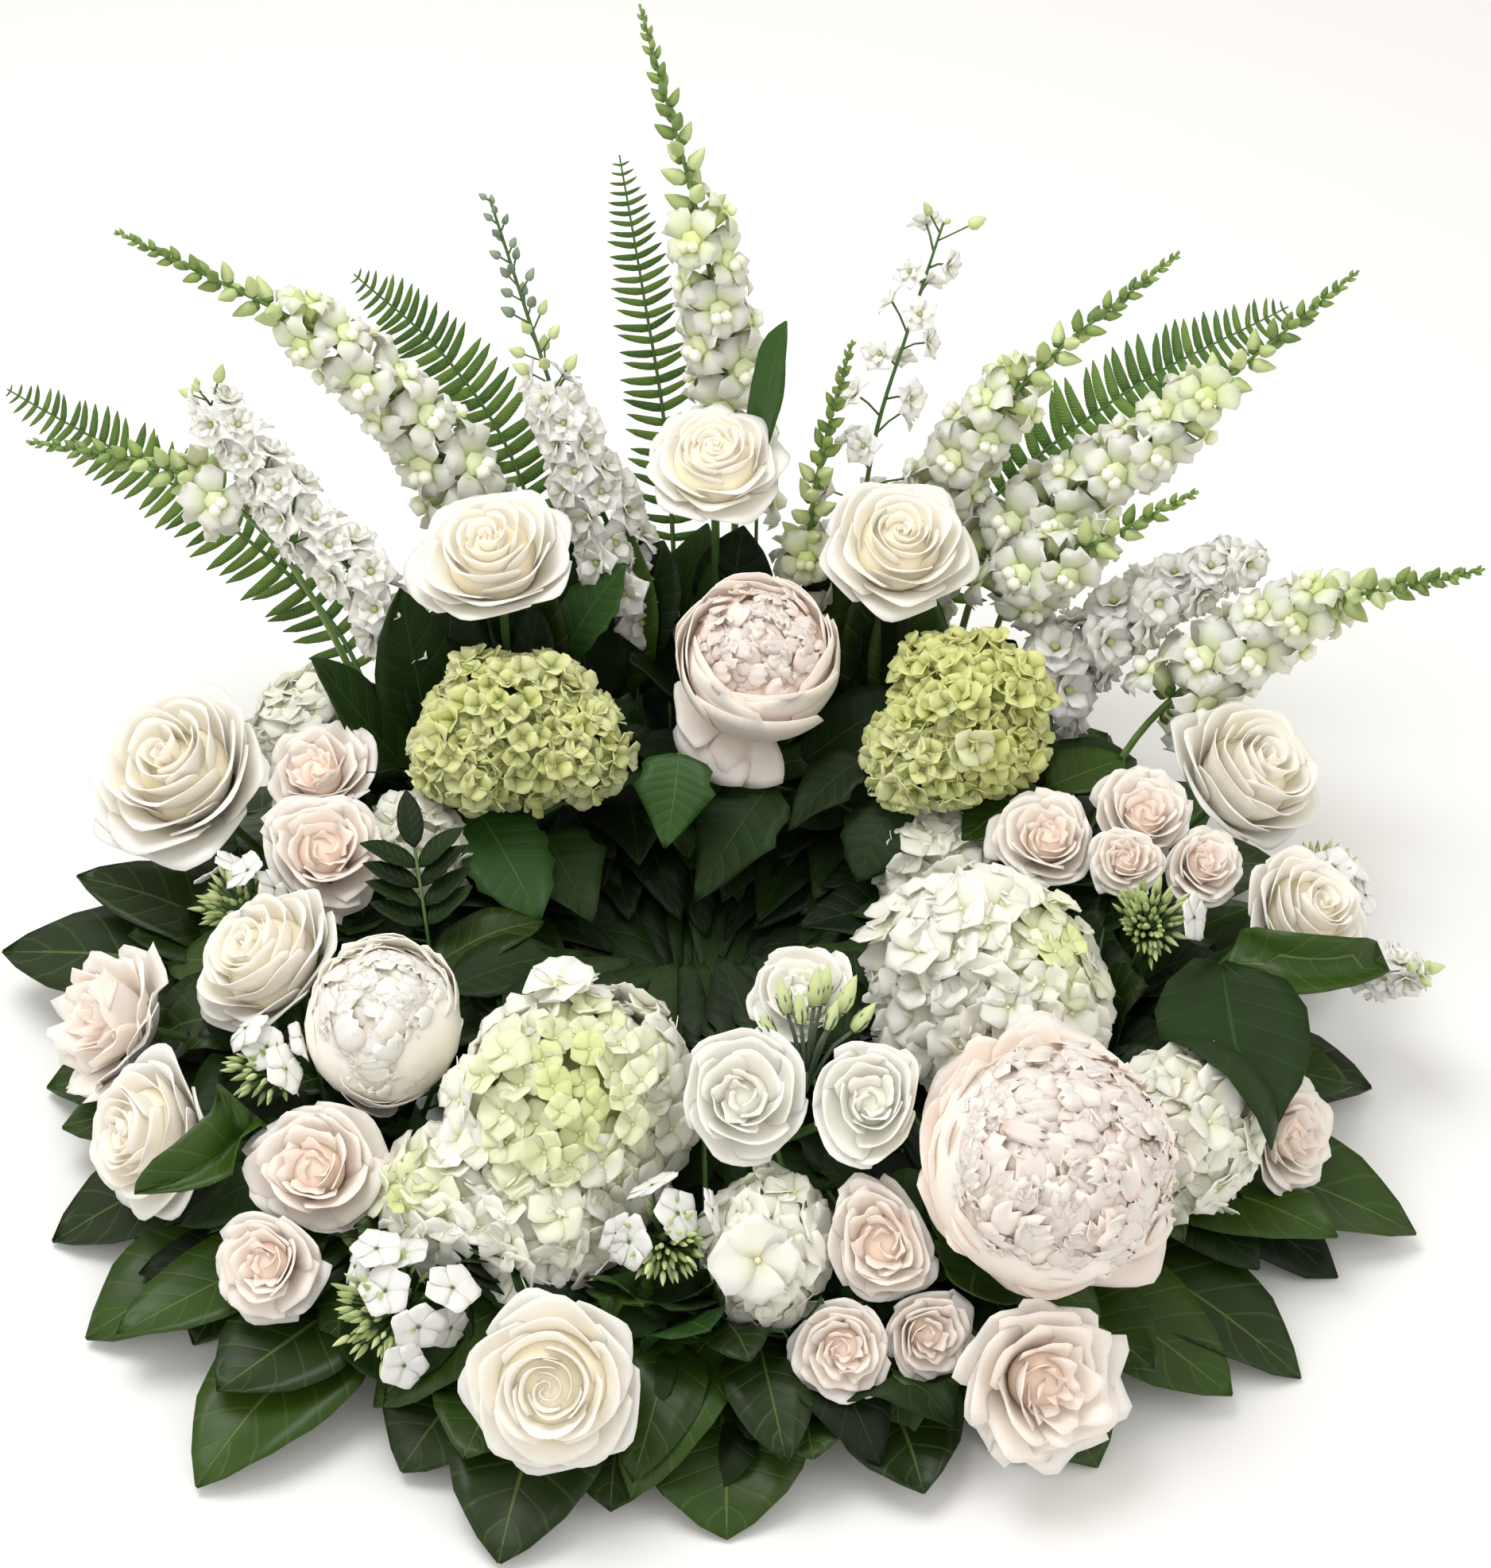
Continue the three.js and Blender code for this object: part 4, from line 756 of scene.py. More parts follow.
def layered_bloom(head, layers, tone=0.0, foot=FOOT):
    """All the petals of a bloom; each layer is turned to cover the gaps of the one outside it"""
    turn = turn_towards(head.faces, draw(0, 2 * math.pi))
    petals = []
    start = 0.0
    for layer in layers:
        start += math.pi / layer.count + draw(-0.15, 0.15)
        for number in range(layer.count):
            azimuth = start + (number + draw(-0.08, 0.08)) * 2 * math.pi / layer.count
            shade = tone + draw(0, 0.12)
            petal = wrapped_petal(layer, head.radius, azimuth, shade, foot)
            petals.append(pressed(moved(petal, turn, head.at), head))
    return petals


SEAT_SIZE, SEAT_DEPTH = 0.2, 0.52
SEPAL_COUNT, SEPAL_WIDTH = 5, 0.2


def sepals(head, length):
    """The green seat that the petals of a bloom spring from, and the green sepals below it"""
    turn = turn_towards(head.faces)
    below = head.at - head.faces * head.radius * SEAT_DEPTH
    seat = moved(bead(WHOLE, head.radius * SEAT_SIZE, STEM_SKIN), turn, below)
    sheet = grid_sheet(2, 3)
    green = []
    for number in range(SEPAL_COUNT):
        reach = sheet.v * length
        width = length * SEPAL_WIDTH * np.sin(np.pi * np.clip(sheet.v * 0.85 + 0.12, 0, 1))
        points = np.column_stack([reach * 0.8 + 4, sheet.u * width, -0.55 * head.radius + reach * 0.45])
        points = points @ turn_about_z(number * 2 * math.pi / SEPAL_COUNT).T
        green.append(moved(sheet_part(sheet, points, STEM_SKIN), turn, head.at))
    return [seat], green


ROSE_LAYERS = [
    Layer(5, 50, (0.62, -0.46), (0.90, 0.10), (1.06, -0.04), 0.12, 0.16, 0.030, (11, 8), 0.26),
    Layer(5, 50, (0.58, -0.44), (0.80, 0.24), (0.95, 0.16), 0.11, 0.15, 0.028, (11, 8), 0.22),
    Layer(4, 60, (0.54, -0.40), (0.66, 0.38), (0.80, 0.38), 0.09, 0.13, 0.028, (11, 8), 0.16),
    Layer(3, 76, (0.47, -0.36), (0.51, 0.48), (0.62, 0.54), 0.07, 0.12, 0.026, (12, 7), 0.12),
    Layer(3, 84, (0.38, -0.30), (0.37, 0.52), (0.46, 0.62), 0.05, 0.10, 0.022, (11, 6), 0.08),
    Layer(3, 90, (0.27, -0.20), (0.25, 0.52), (0.31, 0.63), 0.04, 0.10, 0.018, (11, 6), 0.04),
    Layer(2, 115, (0.15, -0.10), (0.13, 0.48), (0.18, 0.62), 0.02, 0.10, 0.014, (10, 5)),
    Layer(2, 120, (0.07, -0.05), (0.05, 0.42), (0.08, 0.58), 0.01, 0.10, 0.010, (9, 4)),
]
IVORY_BY_LAYER = 0.05
ROSE_TURN = 0.05
ROSE_HEART = (0.60, 0.60, 0.48)
ROSE_STEM_DEPTH = 30
ROSE_SEPALS = 0.7
ROSE_FULLNESS = {
    "rose_back_middle": 0.88, "rose_back_left": 1.04, "rose_left_high": 1.14, "rose_front": 0.92,
    "rose_right_high": 1.12,
}


def swayed(head, most, fullness=1.0):
    """The same head turned a little by chance, because no layer of a bloom sits quite true"""
    faces = head.faces + draw(-most, most, 3)
    return head._replace(faces=faces / np.linalg.norm(faces), radius=head.radius * fullness)


def tinted_bloom(head, layers, turn, fullness, first_tone, tone_step):
    """Layers that each sway by their own angle and are a step deeper in colour than the one outside"""
    petals = []
    for depth, layer in enumerate(layers):
        petals += layered_bloom(swayed(head, turn, fullness), [layer], tone=first_tone + depth * tone_step)
    return petals


for name, row in ROSES.items():
    bloom = as_head(row)
    seat, green = sepals(bloom, bloom.radius * ROSE_SEPALS)
    stem = tube(stem_into(bloom, ROSE_STEM_DEPTH), STEM_RADIUS, STEM_SKIN)
    solids = seat + [stem, heart(bloom, ROSE_HEART, -0.02, 0.8)]
    petals = tinted_bloom(bloom, ROSE_LAYERS, ROSE_TURN, ROSE_FULLNESS.get(name, 1.0), 0.0, IVORY_BY_LAYER)
    make_piece(name, [ROSE, STEM], petals + green, solids)
print("roses", len(ROSES), "with", sum(layer.count for layer in ROSE_LAYERS), "petals each")

# %% [markdown]
# ## Spray roses and lisianthus
# Spray roses are small garden roses: fewer petals, looser and wavier, with a blush in the middle. The
# largest of them are ruffled more. A lisianthus bloom is thinner still, and its petals wrap like a half-open
# fan. Both come from the same wrapped petal, with other layers.

# %% Spray roses
SPRAY_LAYERS = [
    Layer(5, 50, (0.60, -0.42), (0.90, 0.06), (1.10, -0.02), 0.14, 0.10, 0.065, (9, 6), 0.04),
    Layer(5, 50, (0.54, -0.38), (0.76, 0.20), (0.96, 0.20), 0.12, 0.10, 0.065, (9, 6), 0.03),
    Layer(4, 58, (0.46, -0.34), (0.58, 0.32), (0.74, 0.38), 0.10, 0.12, 0.07, (10, 6)),
    Layer(4, 56, (0.36, -0.30), (0.42, 0.36), (0.54, 0.46), 0.08, 0.14, 0.07, (9, 5)),
    Layer(4, 50, (0.22, -0.20), (0.26, 0.34), (0.36, 0.46), 0.06, 0.16, 0.07, (8, 4)),
    Layer(3, 66, (0.10, -0.08), (0.12, 0.30), (0.18, 0.44), 0.04, 0.16, 0.05, (7, 4)),
]
BLUSH_BY_LAYER = 0.07
SPRAY_TURN = 0.14
SPRAY_FULLNESS = 1.12
SPRAY_HEART = (0.46, 0.46, 0.38)
SPRAY_SEPALS = 0.8
BLOOM_DEPTH = 0.6
GARDEN_ROSE_FROM, GARDEN_RUFFLE = 34, 1.9
for name, rows in SPRAY_ROSES.items():
    blooms = [as_head(row) for row in rows]
    petals, solids = [], branching_stems(blooms, BLOOM_DEPTH)
    for bloom in blooms:
        ruffle = GARDEN_RUFFLE if bloom.radius > GARDEN_ROSE_FROM else 1.0
        layers = [layer._replace(ruffle=layer.ruffle * ruffle) for layer in SPRAY_LAYERS]
        petals += tinted_bloom(bloom, layers, SPRAY_TURN, SPRAY_FULLNESS, 0.0, BLUSH_BY_LAYER)
        seat, green = sepals(bloom, bloom.radius * SPRAY_SEPALS)
        petals += green
        solids += seat + [heart(bloom, SPRAY_HEART, -0.05)]
    make_piece(name, [SPRAY, STEM], petals, solids)
print("spray roses", sum(len(rows) for rows in SPRAY_ROSES.values()))

# %% [markdown]
# ## Lisianthus
# Three blooms share one stem with a bunch of buds. The buds stand on thin stalks that spread from one place,
# white and slender, and each sits in five narrow green sepals.

# %% Lisianthus
LISIANTHUS_LAYERS = [
    Layer(5, 56, (0.58, -0.50), (0.96, 0.02), (1.10, 0.16), 0.08, 0.10, 0.05, (10, 7)),
    Layer(4, 66, (0.50, -0.46), (0.80, 0.16), (0.88, 0.38), 0.06, 0.10, 0.05, (10, 7)),
    Layer(4, 62, (0.40, -0.38), (0.56, 0.26), (0.62, 0.47), 0.04, 0.10, 0.05, (10, 6)),
    Layer(4, 54, (0.26, -0.24), (0.32, 0.28), (0.40, 0.45), 0.05, 0.14, 0.06, (9, 5)),
    Layer(3, 64, (0.12, -0.10), (0.14, 0.24), (0.21, 0.41), 0.04, 0.14, 0.05, (8, 4)),
]
LISIANTHUS_TURN = 0.16
LISIANTHUS_FULLNESS = [1.0, 1.0, 0.84]
LISIANTHUS_HEART = (0.42, 0.42, 0.34)
BUNCH_FOOT = np.array([58.0, -150.0, 128.0])
BUD_TIPS = [
    (34, -136, 170), (44, -120, 180), (54, -134, 184), (64, -118, 186), (74, -136, 180), (84, -122, 184),
    (94, -130, 172), (70, -108, 178),
]
blooms = [as_head(row) for row in LISIANTHUS]
petals = [petal for bloom, fullness in zip(blooms, LISIANTHUS_FULLNESS)
          for petal in tinted_bloom(bloom, LISIANTHUS_LAYERS, LISIANTHUS_TURN, fullness, 0.0, 0.05)]
solids = branching_stems(blooms, BLOOM_DEPTH)
solids += [heart(bloom, LISIANTHUS_HEART, -0.16, 0.3) for bloom in blooms]
_, fork = main_stem(blooms[0], BLOOM_DEPTH)
solids.append(tube([fork, BUNCH_FOOT, BUNCH_FOOT + (0, 4, 9)], 2.2, STEM_SKIN))
for tip in BUD_TIPS:
    tip = np.array(tip, float)
    reach = tip - BUNCH_FOOT
    way = reach / np.linalg.norm(reach)
    middle = BUNCH_FOOT + reach * 0.4 + (0, 3, 3)
    foot = BUNCH_FOOT + reach * 0.66
    solids.append(tube([BUNCH_FOOT, middle, foot], [1.4, 1.2, 1.1], CALYX_SKIN, sides=5))
    solids.append(bud(foot, way, np.linalg.norm(reach) * 0.34, BUD_SKIN, tone=0.7, width=0.62))
    for number in range(SEPAL_COUNT):
        angle = number * 2 * math.pi / SEPAL_COUNT
        lean = np.array([math.cos(angle), math.sin(angle), 0.0])
        lean = lean - way * np.dot(lean, way)
        solids.append(bud(foot + lean * 1.8, way + lean * 0.25, 13, CALYX_SKIN, width=0.2))
make_piece("lisianthus", [PURE, STEM, BUD, DARK_BUD], petals, solids)
print("lisianthus blooms", len(blooms), "and buds", len(BUD_TIPS))

# %% [markdown]
# ## Peonies
# A peony has a cup of broad guard petals round a crowd of short crumpled ones. The short petals stand on a
# dome and arch over like popcorn, and the shade between them gives the flower its depth. The crown of the
# wide open one sits a little off the middle of its guard petals, towards the viewer. The one at the left is
# still a closed globe, and the one at the back a bowl with three petals hanging below it.

# %% Peonies
OPEN_LAYERS = [
    Layer(6, 40, (0.60, -0.40), (1.00, 0.00), (1.20, -0.14), 0.06, 0.18, 0.08, (12, 8), 0.20),
    Layer(7, 34, (0.58, -0.38), (0.96, 0.10), (1.08, 0.10), 0.06, 0.20, 0.08, (11, 8), 0.18),
    Layer(8, 28, (0.55, -0.36), (0.88, 0.20), (0.99, 0.30), 0.05, 0.22, 0.08, (10, 8), 0.16),
    Layer(9, 24, (0.52, -0.32), (0.78, 0.26), (0.88, 0.44), 0.05, 0.24, 0.08, (9, 7), 0.14),
]
BOWL_LAYERS = [
    Layer(5, 52, (0.62, -0.85), (1.12, -0.35), (0.95, 0.32), 0.02, 0.05, 0.025, (12, 9)),
    Layer(5, 54, (0.60, -0.80), (1.06, -0.20), (0.86, 0.46), 0.02, 0.05, 0.03, (12, 9)),
    Layer(6, 50, (0.58, -0.72), (0.96, 0.05), (0.76, 0.56), 0.02, 0.06, 0.035, (12, 8)),
]
GLOBE_LAYERS = [
    Layer(5, 54, (0.70, -0.88), (1.16, -0.30), (1.04, 0.06), 0.02, 0.08, 0.06, (12, 9)),
    Layer(6, 50, (0.68, -0.80), (1.12, -0.10), (1.00, 0.24), 0.02, 0.08, 0.06, (12, 9)),
    Layer(6, 50, (0.64, -0.66), (1.08, 0.05), (0.90, 0.42), 0.02, 0.08, 0.07, (12, 8)),
]
PEONY_FOOT = (0.1, -0.8)
PEONY_TURN = 0.10
PEONY_SEPALS = 0.5
CRUMPLE = 0.032
RAGGED_TIPS, TIP_COUNT = 0.06, 7
LOW_RISE = 0.45


def spread_directions(count, lowest):
    """Directions spread evenly from straight up down to a height, by golden turns"""
    number = np.arange(count)
    height = 1 - (number + 0.5) * (1 - lowest) / count
    flat = np.sqrt(1 - height ** 2)
    angle = number * math.pi * (3 - math.sqrt(5))
    return np.column_stack([flat * np.cos(angle), flat * np.sin(angle), height])


def crumpled_petals(head, count, lowest, base, length, width, squash, rise=(0.25, 0.75), tone=0.0):
    """Short petals on a dome, like popcorn: each is lifted by its own angle and its tip arches over"""
    turn = turn_towards(head.faces, draw(0, ANY_ANGLE))
    sheet = grid_sheet(5, 4)
    petals = []
    for direction in spread_directions(count, lowest):
        spin = DRAW.normal(0.0, 0.8)
        across, upward = frame_round(direction, np.array([direction[1], -direction[0], 0.02]))
        inward = upward if upward[2] > 0 else -upward
        side = np.cross(inward, direction)
        grow = inward * math.cos(spin) + side * math.sin(spin)
        angle = draw(*rise) * (LOW_RISE + (1 - LOW_RISE) * max(direction[2], 0.0))
        way = grow * math.cos(angle) + direction * math.sin(angle)
        normal = direction * math.cos(angle) - grow * math.sin(angle)
        across = np.cross(way, normal)
        reach = draw(*length)
        half = draw(*width) * np.interp(sheet.v, (0, 0.3, 0.75, 1), (0.5, 0.9, 1.0, 0.72))
        tips = draw(-RAGGED_TIPS, RAGGED_TIPS, TIP_COUNT)
        tips = tips[np.round((sheet.u + 1) * 3).astype(int)]
        along = reach * (sheet.v + tips * 3 * sheet.v ** 4)
        arch = reach * draw(-0.60, -0.10) * sheet.v ** 2
        bow = arch - draw(0.1, 0.5) * sheet.u ** 2 * half
        bow = bow + CRUMPLE * sheet.v * np.sin(sheet.u * draw(5, 9) + draw(0, ANY_ANGLE))
        points = along[:, None] * way + (sheet.u * half)[:, None] * across + bow[:, None] * normal
        points = (points + direction * base * draw(0.93, 1.06)) * np.array([1.0, 1.0, squash])
        petal = sheet_part(sheet, points * head.radius, PETAL_SKIN, tone + draw(0, 0.16))
        petals.append(pressed(moved(petal, turn, head.at), head))
    return petals


def peony_stem(head):
    seat, green = sepals(head, head.radius * PEONY_SEPALS)
    return seat + [tube(stem_into(head, head.radius * BLOOM_DEPTH), STEM_RADIUS, STEM_SKIN)], green


flower = as_head(PEONIES["peony_front_right"])
solids, green = peony_stem(flower)
crown = flower._replace(at=flower.at + (7, -6, 5))
solids.append(heart(crown, (0.92, 0.92, 0.81), 0.0, 0.1))
petals = tinted_bloom(flower, OPEN_LAYERS, PEONY_TURN, 1.0, 0.22, -0.04)
petals += crumpled_petals(crown, 90, -0.15, 0.89, (0.32, 0.46), (0.12, 0.19), 0.87, (0.15, 0.45), 0.08)
petals += crumpled_petals(crown, 320, 0.0, 0.92, (0.20, 0.31), (0.10, 0.16), 0.88, (0.12, 0.55))
make_piece("peony_front_right", [PEONY, STEM], petals + green, solids)

flower = as_head(PEONIES["peony_back"])
solids, green = peony_stem(flower)
solids.append(heart(flower, (0.88, 0.88, 0.76), -0.10, 0.4))
petals = layered_bloom(flower, BOWL_LAYERS, tone=0.05, foot=PEONY_FOOT)
petals += crumpled_petals(flower, 120, 0.46, 0.84, (0.18, 0.28), (0.10, 0.16), 0.88, tone=0.12)
guard = Layer(1, 30, (0.66, -0.86), (1.15, -0.60), (1.22, -0.62), 0.02, 0.12, 0.03, (12, 8))
turn = turn_towards(flower.faces)
for azimuth, tip in ((-2.2, (1.30, -0.95)), (-1.75, (1.22, -0.95)), (-2.75, (1.12, -0.72))):
    hanging = wrapped_petal(guard._replace(tip=tip), flower.radius, azimuth, 0.1, PEONY_FOOT)
    petals.append(moved(hanging, turn, flower.at))
make_piece("peony_back", [PEONY, STEM], petals + green, solids)

flower = as_head(PEONIES["peony_left"])
solids, green = peony_stem(flower)
solids.append(heart(flower, (0.93, 0.93, 0.85), 0.0, 0.2))
petals = layered_bloom(flower, GLOBE_LAYERS, foot=PEONY_FOOT)
petals += crumpled_petals(flower, 190, -0.10, 0.92, (0.30, 0.42), (0.17, 0.25), 0.90, (0.08, 0.40))
make_piece("peony_left", [PEONY_WHITE, STEM], petals + green, solids)
print("peonies", len(PEONIES))

# %% [markdown]
# ## Heads of florets
# A hydrangea is a dome of florets, each with four rounded sepals round a bead. A few versions of a floret
# are shaped for each kind and copied over the dome by golden turns, which leaves no rows to see. A white
# sepal has 3 by 4 faces, and a lime one, half as long, 2 by 3. The sepals overlap, as real ones do. A small
# core in shade closes the view into the head.

# %% Flat petals and florets
LIP_CORNERS, LIP_WAVES = 0.16, 4.7


def flat_petal(sheet, length, stations, widths, lift=0.0, droop=0.0, cup=0.0, ruffle=0.0, tone=0.0,
               twist=0.0):
    """A petal that lies outwards along X, with its half width given at stations along it"""
    u, v = sheet.u, sheet.v
    half = np.interp(v, stations, widths) * length
    x = v * length * (1 - LIP_CORNERS * u ** 2 * v)
    z = length * (lift * v - droop * v ** 2.5) + cup * u ** 2 * half
    z = z + ruffle * length * v ** 2 * np.sin(u * LIP_WAVES)
    return sheet_part(sheet, np.column_stack([x, u * half, z + twist * u * half]), PETAL_SKIN, tone)


def ring_of(petal, count, start=0.0, jitter=0.0):
    petals = []
    for number in range(count):
        angle = start + (number + draw(-jitter, jitter)) * 2 * math.pi / count
        petals.append(moved(petal, turn_about_z(angle), WHOLE, draw(1 - jitter, 1 + jitter)))
    return petals


ROUND_STATIONS = (0.0, 0.25, 0.5, 0.75, 1.0)
SEPAL_WIDTHS = (0.10, 0.42, 0.60, 0.60, 0.30)
PHLOX_WIDTHS = (0.08, 0.22, 0.42, 0.50, 0.28)


def floret_kinds(make, count):
    """A few versions of one floret, so that a head shows no exact copies side by side"""
    return [make() for _ in range(count)]


def cupped_floret(grid, low_lift, high_lift):
    """Four rounded sepals, each over one neighbour and under the other"""
    lift = draw(low_lift, high_lift)
    leaves = []
    for number in range(4):
        sepal = flat_petal(grid_sheet(*grid), draw(0.9, 1.08), ROUND_STATIONS, SEPAL_WIDTHS,
                           lift=lift + draw(-0.12, 0.12),
                           droop=draw(0.05, 0.35) * (0.5 + lift),
                           cup=draw(0.0, 0.45), ruffle=0.035, twist=0.16)
        angle = number * math.pi / 2 + draw(-0.12, 0.12)
        leaves.append(moved(sepal, turn_about_z(angle), WHOLE))
    return leaves, [bead((0, 0, 0.05), 0.085, PETAL_SKIN, tone=0.6)]


def phlox_floret():
    petal = flat_petal(grid_sheet(3, 4), 1.0, ROUND_STATIONS, PHLOX_WIDTHS, lift=0.1,
                       droop=draw(0.05, 0.3), ruffle=0.03, twist=0.1)
    return ring_of(petal, 5, 0.0, 0.04), [bead((0, 0, 0.02), 0.08, STEM_SKIN)]


WHITE_FLORETS = floret_kinds(lambda: cupped_floret((3, 4), 0.15, 0.65), 9)
LIME_FLORETS = floret_kinds(lambda: cupped_floret((2, 3), 0.6, 1.5), 9)
PHLOX_FLORETS = floret_kinds(phlox_floret, 5)


def placed_floret(kinds, at, faces, size, tone=None):
    thin, solid = kinds[DRAW.integers(len(kinds))]
    turn = turn_towards(faces, draw(0, ANY_ANGLE))
    thin = [moved(part, turn, at, size) for part in thin]
    solid = [moved(part, turn, at, size) for part in solid]
    if tone is not None:
        thin = [part._replace(tone=np.full(len(part.points), tone)) for part in thin]
    return thin, solid


DOME_UNDERSIDE = 0.45
DOME_TOP = 0.9
FLORET_SEAT = 0.93
FLORET_TURN = 0.38
FLORET_RISE = 0.45
CORE_SIZE = 0.74
DomeLook = namedtuple("DomeLook", "skin slot size lumps shrink core_skin core_tone")


def floret_dome(head, kinds, count, size, lowest, tone_of, core_tone, look, owner=None):
    """Florets all over a dome, facing outwards and up, round a core; a full tone shrinks a floret"""
    turn = turn_towards(head.faces, draw(0, ANY_ANGLE))
    thin, solid = [], []
    for direction in spread_directions(count, lowest):
        lump = look.lumps * math.sin(5.1 * direction[0] + 1.0) * math.cos(4.7 * direction[1] + 0.6)
        seat = direction * head.radius * FLORET_SEAT * (draw(0.84, 1.03) + lump)
        seat[2] *= DOME_UNDERSIDE if seat[2] < 0 else DOME_TOP
        at = turn @ seat + head.at
        faces = turn @ (direction + draw(-FLORET_TURN, FLORET_TURN, 3) + (0, 0, FLORET_RISE))
        tone = tone_of(at) if tone_of else draw(0, 0.25)
        grown = size * draw(0.8, 1.12) * (1 - look.shrink * tone)
        leaves, beads = placed_floret(kinds, at, faces, grown, tone)
        thin += leaves
        solid += beads
    core = BEAD.points * head.radius * CORE_SIZE * np.array([1, 1, 0.8]) @ turn.T + head.at
    solid.append(BEAD._replace(points=core, skin=look.core_skin, tone=BEAD.tone + core_tone))
    return [pressed(part, head, owner) for part in thin], [pressed(part, head, owner) for part in solid]


print("florets shaped", len(WHITE_FLORETS) + len(LIME_FLORETS) + len(PHLOX_FLORETS))

# %% [markdown]
# ## Hydrangeas
# The two large white heads are still turning from green: their middles and lower sides are lime, and the
# rims are white. The tone of each floret says how green it is, by its place on the head. The lime heads at
# the back have more florets, of half the size. No head is a true ball: lobes swell out of three of them, and
# one large floret hangs out below the head in front.

# %% Hydrangea heads
LARGE_FLORET = 18.5
LIME_FLORET = 9.0
SMALL_FLORET = 16.5
GIANT_FLORET = 24.0
MAIN_LOWEST, LOBE_LOWEST = -0.35, -0.2
LOBE_TONE = 0.4
CORE_DEPTH = 0.3


def green_near(spot, radius, most=1.0):
    spot = np.array(spot, float)

    def tone(at):
        near = 1 - np.linalg.norm(at - spot) / radius
        return float(np.clip(near * 1.6 * most + draw(-0.25, 0.2), 0, 1))
    return tone


HYDRANGEA_LOOKS = {
    "hydrangea_left_front": [WHITE_FLORETS, 125, LARGE_FLORET, green_near((-60, -172, 158), 82, 0.8)],
    "hydrangea_right": [WHITE_FLORETS, 112, LARGE_FLORET, green_near((205, -60, 150), 52, 0.7)],
    "hydrangea_lime_left": [LIME_FLORETS, 160, LIME_FLORET, None],
    "hydrangea_lime_right": [LIME_FLORETS, 180, LIME_FLORET * 1.1, green_near((148, 70, 176), 24, 0.9)],
    "hydrangea_left_inner": [WHITE_FLORETS, 44, SMALL_FLORET * 0.8, None],
    "hydrangea_right_low": [WHITE_FLORETS, 52, SMALL_FLORET, None],
    "hydrangea_front": [WHITE_FLORETS, 40, SMALL_FLORET * 1.1, None],
    "hydrangea_left_back": [WHITE_FLORETS, 40, SMALL_FLORET, None],
    "hydrangea_right_inner": [WHITE_FLORETS, 40, SMALL_FLORET, None],
}
LOBES = {
    "hydrangea_left_front": [
        [[(-128, -190, 78), (-0.3, -0.5, 0.8), 40], 34, green_near((-148, -200, 118), 42, 0.9)],
        [[(-72, -196, 82), (0, -0.6, 0.8), 44], 40, green_near((-66, -206, 130), 50, 0.5)]],
    "hydrangea_lime_left": [
        [[(-74, 110, 136), (0.3, -0.5, 0.8), 28], 60, None],
        [[(-136, 98, 136), (-0.2, -0.6, 0.8), 27], 50, None]],
    "hydrangea_lime_right": [[[(134, 98, 136), (-0.2, -0.6, 0.7), 32], 66, None]],
}
WHITE_LOOK = DomeLook(HYDRANGEA, "white_hydrangea", 1.0, 0.03, 0.38, PETAL_SKIN, 0.7)
LIME_LOOK = DomeLook(LIME, "lime_hydrangea", 0.8, 0.16, -0.45, STEM_SKIN, 0.0)
for name, (kinds, count, size, tone_of) in HYDRANGEA_LOOKS.items():
    main = as_head(HYDRANGEAS[name])
    look = LIME_LOOK if kinds is LIME_FLORETS else WHITE_LOOK
    dome = main._replace(radius=main.radius * look.size)
    thin, solid = floret_dome(dome, kinds, count, size, MAIN_LOWEST, tone_of, look.core_tone, look)
    for lobe, florets, lobe_tone in LOBES.get(name, []):
        lobe_thin, lobe_solid = floret_dome(as_head(lobe), kinds, florets, size, LOBE_LOWEST, lobe_tone,
                                            LOBE_TONE, look, main)
        thin += lobe_thin
        solid += lobe_solid
    if name == "hydrangea_front":
        leaves, beads = placed_floret(WHITE_FLORETS, (33, -245, 107), (0, -0.75, 0.66), GIANT_FLORET, 0.0)
        thin += leaves
        solid += beads
    solid.append(tube(stem_into(main, main.radius * CORE_DEPTH), STEM_RADIUS, STEM_SKIN))
    make_piece(name, [look.skin, STEM], thin, solid, thickness=FLORET_THICKNESS)
print("hydrangea heads", len(HYDRANGEA_LOOKS))

# %% [markdown]
# ## Phlox
# A phlox head is a loose flat bunch: open five-petalled florets on one side, with some buds among them, and
# on the other a tuft of pointed buds that haven't opened yet. Each has a thin stalk of its own.

# %% Phlox
PHLOX_FLORET = 15.5
OPEN_FROM = -0.15
BUDS_AMONG = 0.35
BUNCH_DEPTH = 0.9
PHLOX_COUNTS = {"phlox_left": (4, 34), "phlox_front_left": (6, 52), "phlox_front": (4, 48),
                "phlox_right": (2, 76), "phlox_right_edge": (5, 16)}


